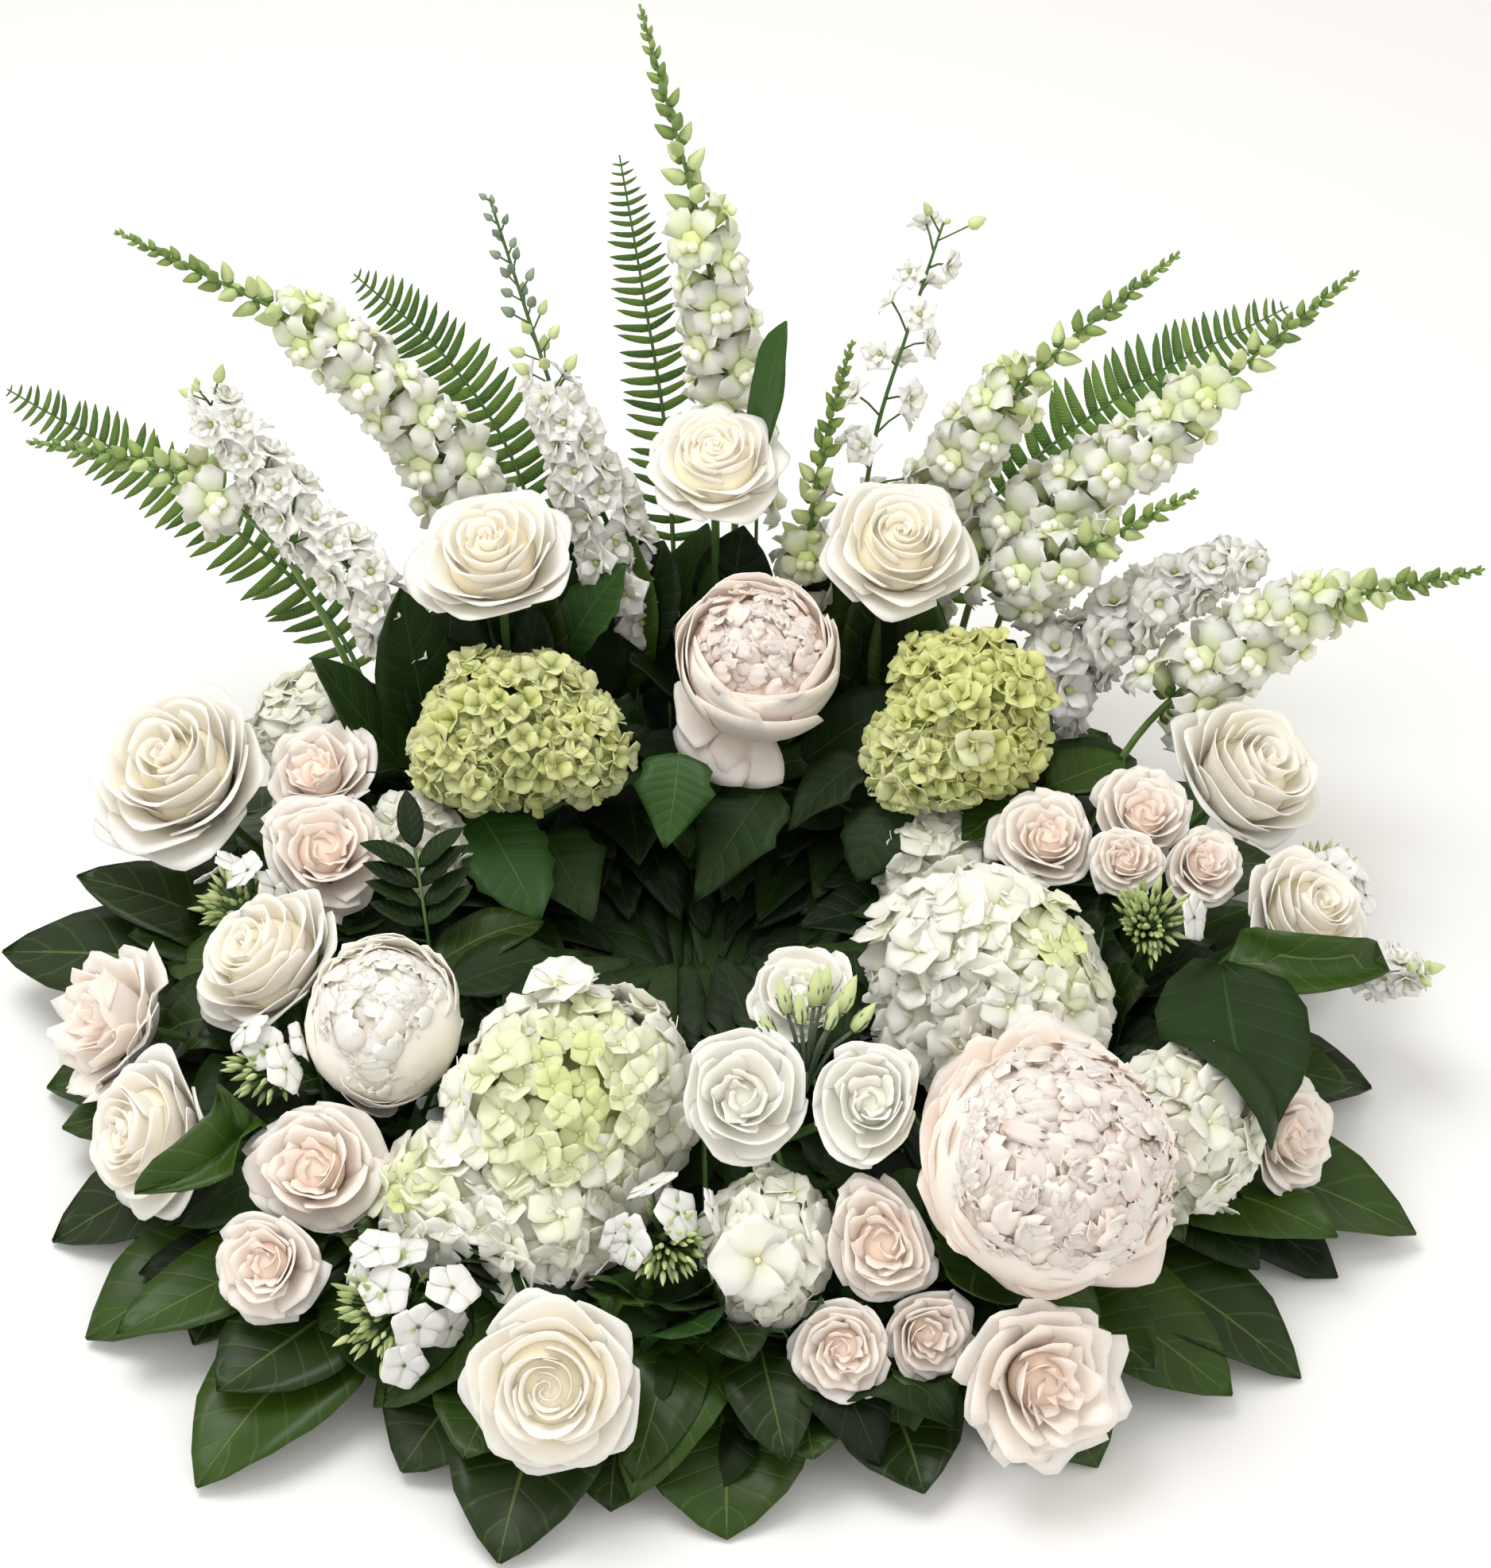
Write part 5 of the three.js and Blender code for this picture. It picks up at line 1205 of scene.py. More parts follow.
def phlox_bunch(head, florets, buds):
    turn = turn_towards(head.faces, draw(0, ANY_ANGLE))
    foot = head.at - head.faces * head.radius * BUNCH_DEPTH
    thin, solid = [], []
    open_side = turn_about_z(draw(0, ANY_ANGLE))[:, 0]
    for direction in spread_directions(2 * florets, 0.05):
        if direction @ open_side < OPEN_FROM:
            continue
        reach = head.radius * draw(0.78, 1.16)
        seat = turn @ (direction * reach * np.array([1.0, 1.0, 0.75])) + head.at
        seat = seat + draw(-5, 5, 3)
        faces = turn @ (direction + draw(-0.6, 0.6, 3) + (0, 0, 0.5))
        leaves, beads = placed_floret(PHLOX_FLORETS, seat, faces, PHLOX_FLORET * draw(0.85, 1.05))
        thin += leaves
        solid += beads
        middle = (foot + seat) / 2 + draw(-2, 2, 3)
        solid.append(tube([foot, middle, seat], 0.9, STEM_SKIN, sides=4))
    for direction in spread_directions(2 * buds, 0.0):
        if direction @ open_side > OPEN_FROM and DRAW.random() > BUDS_AMONG:
            continue
        lean = direction + draw(-0.12, 0.12, 3)
        start = turn @ (lean * head.radius * draw(0.42, 0.72)) + head.at
        tip_way = turn @ (lean + (0, 0, 0.35))
        solid.append(tube([foot, start], [0.9, 0.7], STEM_SKIN, sides=4))
        solid.append(bud(start, tip_way, draw(8, 12), BUD_SKIN, tone=draw(0.1, 0.9), width=0.48))
    return [pressed(part, head) for part in thin], [pressed(part, head) for part in solid]


for name, rows in PHLOX.items():
    bunches = [as_head(row) for row in rows]
    thin, solid = [], branching_stems(bunches, CORE_DEPTH)
    for bunch in bunches:
        leaves, rest = phlox_bunch(bunch, *PHLOX_COUNTS[name])
        thin += leaves
        solid += rest
    make_piece(name, [PURE, STEM, BUD], thin, solid, thickness=FLORET_THICKNESS)
print("phlox stems", len(PHLOX))

# %% [markdown]
# ## Snapdragon spikes
# A snapdragon flower is a short tube with two upper lobes that stand back and three lower ones round a
# closed mouth. They open from the bottom up: white flowers, then lime buds, then small green buds to the
# tip. A few flowers are shaped and copied round the stem by golden turns. The table says how far up each
# stem is bare, how much of the rest is open, and where the stem runs.

# %% Snapdragon flowers
TIP_SHARE = 0.995
SNAPDRAGONS = {
    "snapdragon_middle": [0.34, 0.60, (20, 236), (18, 302, 238), (2, 310, 355), (-33, 354, 480)],
    "snapdragon_left": [0.34, 0.62, (-112, 208), (-140, 270, 185), (-204, 267, 300), (-323, 243, 400)],
    "snapdragon_far_left": [0.62, 0.20, (-172, 162), (-252, 226, 190), (-306, 230, 244), (-391, 226, 270)],
    "snapdragon_right": [0.28, 0.58, (108, 211), (142, 268, 190), (191, 258, 290), (274, 269, 370)],
    "snapdragon_right_wide": [0.34, 0.62, (146, 186), (174, 247, 160), (262, 243, 255), (373, 250, 370)],
    "snapdragon_right_low": [0.48, 0.48, (168, 166), (186, 218, 160), (226, 196, 214), (288, 196, 256)],
    "snapdragon_far_right": [0.34, 0.50, (216, 96), (262, 150, 110), (340, 158, 190), (421, 66, 300)],
    "snapdragon_middle_right": [0.30, 0.30, (64, 227), (66, 236, 205), (76, 242, 270), (88, 240, 330)],
}
GOLDEN = math.pi * (3 - math.sqrt(5))
LOBE_STATIONS = (0.0, 0.4, 0.75, 1.0)
LOBE_WIDTHS = (0.28, 0.52, 0.58, 0.36)


SNAP_LOBES = [(60, 0.58, 0.9), (120, 0.58, 0.9), (-90, 0.42, 0.4), (-150, 0.46, 0.45), (-30, 0.46, 0.45)]


def socket_first(corners):
    return [(*corners[0], STEM_END_HEIGHT), *corners[1:]]


def snapdragon_flower():
    """A flower of unit length: its tube lies along Z, and its upper lobes are towards +Y"""
    thin = []
    for degrees, length, lift in SNAP_LOBES:
        lobe = flat_petal(grid_sheet(3, 4), length, LOBE_STATIONS, LOBE_WIDTHS, lift=lift,
                          droop=draw(0.55, 0.95), cup=draw(-0.3, 0.1), ruffle=0.19)
        angle = math.radians(degrees + draw(-10, 10))
        lobe = lobe._replace(points=lobe.points + (0.16, 0, 0.50))
        thin.append(moved(lobe, turn_about_z(angle), WHOLE))
    solid = [tube([(0, 0, 0), (0, 0.02, 0.3), (0, 0.0, 0.58)], [0.10, 0.19, 0.22], PETAL_SKIN, tone=0.6)]
    solid += [bead((side * 0.10, -0.13, 0.66), 0.14, PETAL_SKIN, 0.05) for side in (1, -1)]
    for number in range(3):
        angle = number * 2 * math.pi / 3 + 0.4
        out = np.array([math.cos(angle), math.sin(angle), 0.0])
        solid.append(bud(out * 0.05, out * 0.75 + (0, 0, 1.0), 0.24, CALYX_SKIN, 0.1, width=1.0))
    return thin, solid


SNAP_FLOWERS = floret_kinds(snapdragon_flower, 5)


def spike_places(run, start, end, first_gap, last_gap):
    """Shares along a stem for its flowers: the gaps shrink from the first to the last"""
    length = np.linalg.norm(np.diff(run[0], axis=0), axis=1).sum()
    share, places = start, []
    while share < end:
        places.append(share)
        grown = (share - start) / (end - start)
        share += (first_gap * (1 - grown) + last_gap * grown) / length
    return places


def flower_frame(run, share, number, lean):
    """The seat and turn of a flower on a stem: its own axis leans up the stem, its +Y towards the tip"""
    centre, along = at_share(run, share)
    across, upward = frame_round(along, np.array([1.0, 0.3, 0.0]))
    angle = number * GOLDEN + draw(-0.2, 0.2)
    out = math.cos(angle) * across + math.sin(angle) * upward
    axis = out * math.cos(lean) + along * math.sin(lean)
    top = along * math.cos(lean) - out * math.sin(lean)
    return centre, out, axis, np.column_stack([np.cross(top, axis), top, axis])


def snapdragon_spike(start, opened, corners):
    run = smooth_run(socket_first(corners))
    open_to = start + (1 - start) * opened
    thin, solid = [], [tapered_stem(run, 2.9, 0.8, tone=0.4)]
    for number, share in enumerate(spike_places(run, start, open_to, 9.2, 8.2)):
        grown = (share - start) / (open_to - start)
        size = 38 - 11 * grown + draw(-2, 2)
        centre, out, axis, turn = flower_frame(run, share, number, math.radians(12 + 24 * grown))
        petals, rest = SNAP_FLOWERS[DRAW.integers(len(SNAP_FLOWERS))]
        tone = np.clip((grown - 0.78) * 2.6 + draw(-0.1, 0.15), 0, 0.9)
        seat = centre + out * 2.4
        thin += [moved(part._replace(tone=part.tone + tone), turn, seat, size) for part in petals]
        solid += [moved(part._replace(tone=part.tone + tone), turn, seat, size) for part in rest]
    for number, share in enumerate(spike_places(run, open_to, TIP_SHARE, 6.4, 1.9)):
        grown = (share - open_to) / (TIP_SHARE - open_to)
        length = 17 * (1 - grown) ** 0.9 + 3.4
        centre, out, axis, _ = flower_frame(run, share, number, math.radians(34 + 26 * grown))
        foot = centre + out * (2.0 - 1.4 * grown)
        skin = BUD_SKIN if grown < 0.40 else CALYX_SKIN
        solid.append(bud(foot, axis, length, skin, tone=draw(0.2, 0.7), width=0.85))
        solid.append(bud(foot - axis * 0.5, axis, length * 0.5, CALYX_SKIN, tone=0.1, width=1.35))
    return thin, solid


for name, (start, opened, *corners) in SNAPDRAGONS.items():
    thin, solid = snapdragon_spike(start, opened, corners)
    make_piece(name, [SNAP, STEM, BUD, GREEN_BUD], thin, solid, thickness=FLORET_THICKNESS)
print("snapdragon spikes", len(SNAPDRAGONS))

# %% [markdown]
# ## Delphiniums and stock
# Delphinium florets stand out on thin stalks of their own, five rounded sepals with a tuft in the middle.
# Some spikes carry doubles with a second ring. Stock is a short dense spike of ruffled doubles.

# %% Delphiniums
Delphinium = namedtuple("Delphinium", "start gap size open stalk buds double")
DELPHINIUMS = {
    "delphinium_left": [Delphinium(0.34, 6.2, 16.5, 0.94, 17, 4, True),
                        (-150, 183), (-184, 196, 160), (-243, 215, 235), (-289, 236, 300)],
    "delphinium_middle_left": [Delphinium(0.26, 4.2, 16.5, 0.58, 18, 26, False),
                               (-44, 232), (-46, 238, 160), (-80, 262, 255), (-120, 303, 385)],
    "delphinium_middle_right": [Delphinium(0.34, 13.0, 13.0, 0.95, 24, 3, False),
                                (84, 221), (104, 272, 235), (122, 280, 310), (140, 285, 380)],
    "delphinium_far_right": [Delphinium(0.74, 6.0, 15.0, 0.85, 8, 5, True),
                             (236, 26), (312, 24, 44), (376, -2, 62), (402, -34, 96)],
}
DELPHINIUM_WIDTHS = (0.14, 0.36, 0.48, 0.42, 0.14)


def delphinium_floret(inner_count):
    outer = flat_petal(grid_sheet(3, 3), 1.0, ROUND_STATIONS, DELPHINIUM_WIDTHS, lift=0.35, droop=0.15,
                       cup=0.3, ruffle=0.04)
    inner = flat_petal(grid_sheet(2, 3), 0.55, ROUND_STATIONS, DELPHINIUM_WIDTHS, lift=0.9, cup=0.3,
                       tone=0.2)
    thin = ring_of(outer, 5, 0.0, 0.05) + ring_of(inner, inner_count, 0.6, 0.1)
    return thin, [bead((0, 0, 0.16), 0.13, BUD_SKIN, 0.2)]


SINGLE_FLORETS = floret_kinds(lambda: delphinium_floret(3), 4)
DOUBLE_FLORETS = floret_kinds(lambda: delphinium_floret(6), 4)


def delphinium_spike(name, look, corners):
    run = smooth_run(socket_first(corners))
    open_to = look.start + (1 - look.start) * look.open
    thin, solid = [], [tapered_stem(run, 2.3, 0.8)]
    kinds = DOUBLE_FLORETS if look.double else SINGLE_FLORETS
    for number, share in enumerate(spike_places(run, look.start, open_to, look.gap, look.gap * 0.8)):
        grown = (share - look.start) / (open_to - look.start)
        centre, out, axis, _ = flower_frame(run, share, number, math.radians(24 + 14 * grown))
        seat = centre + axis * look.stalk * (1.15 - 0.5 * grown) * draw(0.6, 1.25)
        faces = axis + out * 0.4 + (0, -0.45, 0.1) + draw(-0.45, 0.45, 3)
        petals, rest = placed_floret(kinds, seat, faces, look.size * (1.1 - 0.25 * grown))
        thin += petals
        solid += rest
        solid.append(tube([centre, (centre + seat) / 2 + (0, 0, 1.5), seat], 0.7, STEM_SKIN, sides=4))
    for number, share in enumerate(np.linspace(open_to, TIP_SHARE, look.buds)):
        grown = number / max(look.buds - 1, 1)
        centre, out, axis, _ = flower_frame(run, share, number, math.radians(38 + 14 * grown))
        seat = centre + axis * look.stalk * 0.8 * (1 - 0.8 * grown)
        solid.append(tube([centre, seat], 0.6, STEM_SKIN, sides=4))
        skin = CALYX_SKIN if name == "delphinium_middle_left" and grown > 0.35 else BUD_SKIN
        solid.append(bud(seat, axis, 12 - 6 * grown, skin, tone=draw(0.3, 0.9), width=1.0))
    return thin, solid


for name, (look, *corners) in DELPHINIUMS.items():
    thin, solid = delphinium_spike(name, look, corners)
    make_piece(name, [PURE, STEM, BUD, DARK_BUD], thin, solid, thickness=FLORET_THICKNESS)
print("delphinium stems", len(DELPHINIUMS))

# %% Stock
STOCK = [(200, 128), (212, 184, 120), (256, 196, 165), (325, 190, 215)]
STOCK_WIDTHS = (0.12, 0.34, 0.52, 0.56, 0.32)
STOCK_RINGS = [(1.0, 0.25, 5, 0.0), (0.82, 0.6, 5, 0.6), (0.55, 1.2, 4, 0.2)]
STOCK_START, STOCK_END, STOCK_BUDS = 0.34, 0.97, 9


def stock_floret():
    thin = []
    for length, lift, count, start in STOCK_RINGS:
        petal = flat_petal(grid_sheet(3, 3), length, ROUND_STATIONS, STOCK_WIDTHS, lift=lift, droop=0.25,
                           cup=0.1, ruffle=0.10)
        thin += ring_of(petal, count, start, 0.08)
    return thin, [bead((0, 0, 0.25), 0.13, BUD_SKIN, 0.3)]


STOCK_FLORETS = floret_kinds(stock_floret, 4)
run = smooth_run(socket_first(STOCK))
thin, solid = [], [tapered_stem(run, 3.2, 1.2)]
stock_places = spike_places(run, STOCK_START, STOCK_END, 9.0, 7.0)
for number, share in enumerate(stock_places):
    grown = (share - STOCK_START) / (STOCK_END - STOCK_START)
    centre, out, axis, _ = flower_frame(run, share, number, math.radians(24 + 30 * grown))
    seat = centre + axis * (20 - 11 * grown) * draw(0.8, 1.1)
    faces = axis + out * 0.3 + (0, -0.3, 0.1) + draw(-0.3, 0.3, 3)
    petals, rest = placed_floret(STOCK_FLORETS, seat, faces, 24.0 - 8 * grown)
    thin += petals
    solid += rest
    solid.append(tube([centre, seat], 1.0, STEM_SKIN, sides=4))
for number in range(STOCK_BUDS):
    centre, out, axis, _ = flower_frame(run, 0.955 + 0.005 * number, number, math.radians(60))
    solid.append(bud(centre, axis, 9, BUD_SKIN, width=1.1))
make_piece("stock", [PURE, STEM, BUD], thin, solid, thickness=FLORET_THICKNESS)
print("stock flowers", len(stock_places), "and buds", STOCK_BUDS)

# %% [markdown]
# ## Ferns
# A sword fern's frond is a thin rib with narrow leaflets in pairs, square to it, longest in the middle. Each
# leaflet is a curved blade with a small ear at its foot, and the frond lies open to the viewer.

# %% Fern fronds
FERNS = {
    "fern_middle": [[(-14, 236), (-22, 312, 210), (-34, 332, 300), (-47, 352, 385)], 24],
    "fern_left": [[(-78, 223), (-115, 309, 190), (-157, 330, 260), (-206, 326, 320)], 33],
    "fern_far_left": [[(-184, 151), (-228, 262, 95), (-305, 282, 180), (-412, 279, 270)], 31],
    "fern_right": [[(128, 199), (166, 306, 140), (253, 325, 230), (352, 322, 300)], 35],
}
FERN_BARE = 0.30
FERN_FACING = np.array([0.0, -0.6, 0.8])
LEAFLET_GAP = 12.0
LEAFLET_STATIONS = (0, 0.12, 0.5, 0.8, 1.0)
LEAFLET_WIDTHS = (0.11, 0.135, 0.115, 0.085, 0.012)
RIB_SKIN, LEAFLET_SKIN = 0, 1


def fern_leaflet(length, side):
    sheet = grid_sheet(2, 4)
    half = np.interp(sheet.v, LEAFLET_STATIONS, LEAFLET_WIDTHS) * length
    x = sheet.v * length
    y = sheet.u * half + 0.12 * length * sheet.v ** 2
    z = -0.10 * length * sheet.v ** 2 + 0.25 * half * sheet.u ** 2
    z = z + draw(-0.05, 0.05) * length * sheet.v
    return sheet_part(sheet, np.column_stack([x, y * side, z]), LEAFLET_SKIN, draw(0, 0.5))


for name, (corners, reach) in FERNS.items():
    run = smooth_run(socket_first(corners))
    thin = []
    for share in spike_places(run, FERN_BARE, TIP_SHARE, LEAFLET_GAP, LEAFLET_GAP * 0.45):
        grown = (share - FERN_BARE) / (1 - FERN_BARE)
        length = reach * min(1.0, 0.78 + grown * 1.1) * math.sqrt(max(1 - grown ** 2.2, 0.02)) * 1.04
        centre, along = at_share(run, share)
        normal, left = frame_round(along, FERN_FACING)
        for side in (1, -1):
            lean = draw(0.02, 0.26)
            out = left * side * math.cos(lean) + along * math.sin(lean)
            out = out + normal * draw(-0.16, 0.16)
            turn = np.column_stack([out, along * side, normal])
            thin.append(moved(fern_leaflet(length * draw(0.88, 1.04), side), turn, centre))
    make_piece(name, [STEM, FERN], thin, [tapered_stem(run, 2.1, 0.5, RIB_SKIN)],
               thickness=FLORET_THICKNESS)
print("fern fronds", len(FERNS))

# %% [markdown]
# ## Salal leaves
# The collar is salal: a pointed oval leaf, folded a little along its rib, with a long drip tip. Each lies
# where the construction put it, outwards from a twig. A leaf gives way to the flowers: wherever it would
# enter the room of a head, it is pushed out round it, as a real leaf bends behind a bloom.

# %% Leaf shapes
LEAF_ROOM = 5
ROOM_ABOVE = 11
LEAF_FLOOR = 2.0
LEAF_TUCK = 0.25
COLLAR_TWIG_RADIUS = 270
COLLAR_TWIG_HEIGHT = 21
SALAL_STATIONS = (0.0, 0.06, 0.16, 0.34, 0.55, 0.75, 0.9, 0.97, 1.0)
SALAL_WIDTHS = (0.07, 0.34, 0.78, 1.0, 0.96, 0.72, 0.38, 0.15, 0.02)


def clear_of_heads(points, above, room_extra):
    points = points.copy()
    for head in HEADS:
        offset = points - head.at
        room = head.radius + room_extra
        inside = np.linalg.norm(offset, axis=1) < room
        if inside.any():
            pushed = offset[inside]
            tuck = room * LEAF_TUCK
            pushed[:, 2] = np.maximum(pushed[:, 2], tuck) if above else np.minimum(pushed[:, 2], -tuck)
            points[inside] = head.at + pushed / np.linalg.norm(pushed, axis=1)[:, None] * room
    points[:, 2] = np.maximum(points[:, 2], LEAF_FLOOR)
    return points


def leaf(base, tip, width, sag=0.06, above=False, skin=0, grid=(6, 12), fold=0.16, free=False, teeth=0.0,
         stations=SALAL_STATIONS, widths=SALAL_WIDTHS):
    sheet = grid_sheet(*grid)
    base, tip = np.array(base, float), np.array(tip, float)
    along = tip - base
    length = np.linalg.norm(along)
    side = np.array([-along[1], along[0], 0.0])
    side = side / np.linalg.norm(side)
    upward = np.cross(along / length, side)
    spread = np.interp(sheet.v, stations, widths)
    half = width * 0.5 * spread * (1 + teeth * np.cos(sheet.v * 12 * math.pi) * np.abs(sheet.u) ** 4)
    lift = fold * half * np.abs(sheet.u) ** 1.3
    lift = lift + width * 0.03 * sheet.u ** 2 * np.sin(sheet.v * draw(7, 12) + draw(0, ANY_ANGLE))
    curl = draw(-0.05, 0.03) * length * sheet.v ** 3
    swerve = draw(-0.04, 0.04) * length * np.sin(math.pi * sheet.v)
    rise = length * sag * np.sin(math.pi * sheet.v) + curl
    points = base + along * sheet.v[:, None] + (sheet.u * half + swerve)[:, None] * side
    points = points + lift[:, None] * upward + rise[:, None] * np.array([0.0, 0.0, 1.0])
    if not free:
        cleared = clear_of_heads(points, above, ROOM_ABOVE if above else LEAF_ROOM)
        blend = np.clip(sheet.v * 6, 0, 1)[:, None]
        points = points * (1 - blend) + cleared * blend
    return sheet_part(sheet, points, skin, draw(0, 0.7))


def polar(radius, degrees, height):
    angle = math.radians(degrees)
    return np.array([radius * math.cos(angle), radius * math.sin(angle), height])


def along_twig(path, share):
    steps = len(path) - 2
    step = min(int(share * steps), steps - 1)
    return path[step + 1] + (path[step + 2] - path[step + 1]) * (share * steps - step)


print("faces of a leaf", len(grid_sheet(6, 12).faces))

# %% [markdown]
# ## The collar's tables
# The collar is six twigs, end to end round the foam. A row is one leaf: its direction in degrees, how far
# its tip reaches, the height of the tip and its width. Some leaves lie nearly flat on the table, and the
# ones between them are raised. Two twigs have a small branch of their own among the flowers.

# %% The collar
# The fourth skin is the darker salal copy, whose colour is painted shade.
LEAF_SKINS = [SALAL, STEM, SOFT_LEAF, SALAL_PAINTED_SHADE]
SOFT, PAINTED_SHADE = 2, 3
COLLAR_LEAVES = [
    [(8, 372, 36, 50), (10, 392, 5, 56), (22, 386, 7, 54), (29, 366, 38, 50), (34, 380, 4, 58),
     (45, 372, 8, 56), (51, 350, 36, 48), (55, 358, 5, 54)],
    [(68, 346, 6, 56), (75, 336, 38, 50), (81, 344, 4, 58), (93, 340, 6, 56), (99, 332, 40, 48),
     (105, 346, 8, 56), (114, 340, 5, 54)],
    [(126, 352, 5, 56), (132, 346, 38, 50), (138, 368, 7, 58), (149, 380, 5, 56), (157, 372, 44, 52),
     (161, 384, 8, 54), (168, 377, 58, 48), (174, 413, 34, 66)],
    [(186, 376, 8, 56), (194, 364, 28, 52), (203, 382, 5, 56), (214, 388, 5, 58), (218, 380, 34, 42),
     (228, 362, 30, 60), (231, 398, 5, 60)],
    [(244, 336, 8, 56), (250, 330, 34, 50), (255, 366, 5, 64), (263, 330, 12, 50), (273, 338, 5, 66),
     (281, 318, 34, 46), (290, 340, 14, 54)],
    [(305, 360, 5, 62), (312, 352, 40, 50), (317, 380, 16, 56), (323, 398, 6, 52), (333, 384, 38, 50),
     (339, 420, 12, 60), (350, 372, 38, 54), (354, 388, 6, 56)],
]
# The large leaf on the sixth twig's branch wears the darker salal skin, which is painted shade.
EXTRA_BRANCHES = {
    3: [([(-222, -154, 21), (-226, -146, 60), (-222, -141, 84)], [((-290, -184, 84), 44, 0)])],
    5: [([(263, -59, 21), (280, -42, 64), (290, -34, 102)],
         [((293, -158, 96), 76, PAINTED_SHADE), ((384, -34, 98), 46, 0)])],
}
SPRAY_SPAN = 360 / len(COLLAR_LEAVES)
SPRAY_LENGTH = SPRAY_SPAN - 12
TWIG_RADIUS = 2.0
STALK_RADIUS = 1.2
FILLERS_PER_SPRAY = 41
SKIRT_PER_SPRAY = 12


def collar_twig(index):
    socket = index * SPRAY_SPAN + 4
    first = socket + 2
    twig = [polar(FOAM_OUTER - 8.5, socket, COLLAR_TWIG_HEIGHT + 2)]
    twig.append(polar(COLLAR_TWIG_RADIUS - 4, first, COLLAR_TWIG_HEIGHT))
    for step in (1, 2):
        twig.append(polar(COLLAR_TWIG_RADIUS, first + step * SPRAY_LENGTH / 2, COLLAR_TWIG_HEIGHT))
    return twig, first


def stalk(path, radius=STALK_RADIUS):
    return tube(path, radius, STEM_SKIN, sides=5)


def filler_leaves(first, last, count):
    """Short leaves between the flowers, which hide the foam, and a skirt over its outer edge; many wear the
    darker salal skin, whose colour is painted shade
    """
    thin, solid = [], []
    for degrees in np.linspace(first, last, count):
        base = polar(draw(184, 244), degrees + draw(-3, 3), FOAM_TOP - 2)
        lean = polar(draw(34, 62), degrees + draw(-110, 110), 0)
        tip = base + lean + (0, 0, draw(16, 54))
        solid.append(stalk([base - (0, 0, 14), base + (0, 0, 1)]))
        skin = DRAW.choice([0, SOFT, PAINTED_SHADE, PAINTED_SHADE])
        thin.append(leaf(base, tip, draw(34, 48), 0.1, grid=(4, 8), skin=skin))
    for degrees in np.linspace(first + 2, last - 2, SKIRT_PER_SPRAY):
        base = polar(draw(238, 248), degrees, FOAM_TOP - 5)
        tip = polar(draw(296, 326), degrees + draw(-9, 9), draw(14, 46))
        solid.append(stalk([base - (0, 0, 20), base + (0, 0, 1)]))
        thin.append(leaf(base, tip, draw(46, 58), 0.12, grid=(4, 9), skin=DRAW.choice([0, PAINTED_SHADE])))
    return thin, solid


print("leaves between the flowers", len(COLLAR_LEAVES) * (FILLERS_PER_SPRAY + SKIRT_PER_SPRAY))

# %% [markdown]
# ## Odd leaves
# Among the flowers stand leaves of other plants: ivy with its lobes, a toothed leaf, plain ovals and one
# fine twig with small leaflets. Each has a thin stalk down into the foam, and is part of the nearest branch.

# %% Odd leaves
IVY_STATIONS = (0.0, 0.05, 0.16, 0.30, 0.42, 0.55, 0.75, 0.9, 1.0)
IVY_WIDTHS = (0.20, 0.62, 0.86, 0.76, 1.0, 0.78, 0.46, 0.22, 0.02)
OVAL_STATIONS = (0.0, 0.08, 0.25, 0.45, 0.65, 0.82, 0.94, 1.0)
OVAL_WIDTHS = (0.14, 0.50, 0.86, 1.0, 0.92, 0.64, 0.28, 0.03)
LeafKind = namedtuple("LeafKind", "stations widths teeth fold")
IVY = LeafKind(IVY_STATIONS, IVY_WIDTHS, 0.0, 0.14)
TOOTHED = LeafKind(OVAL_STATIONS, OVAL_WIDTHS, 0.05, 0.10)
ROUND = LeafKind(OVAL_STATIONS, OVAL_WIDTHS, 0.0, 0.12)
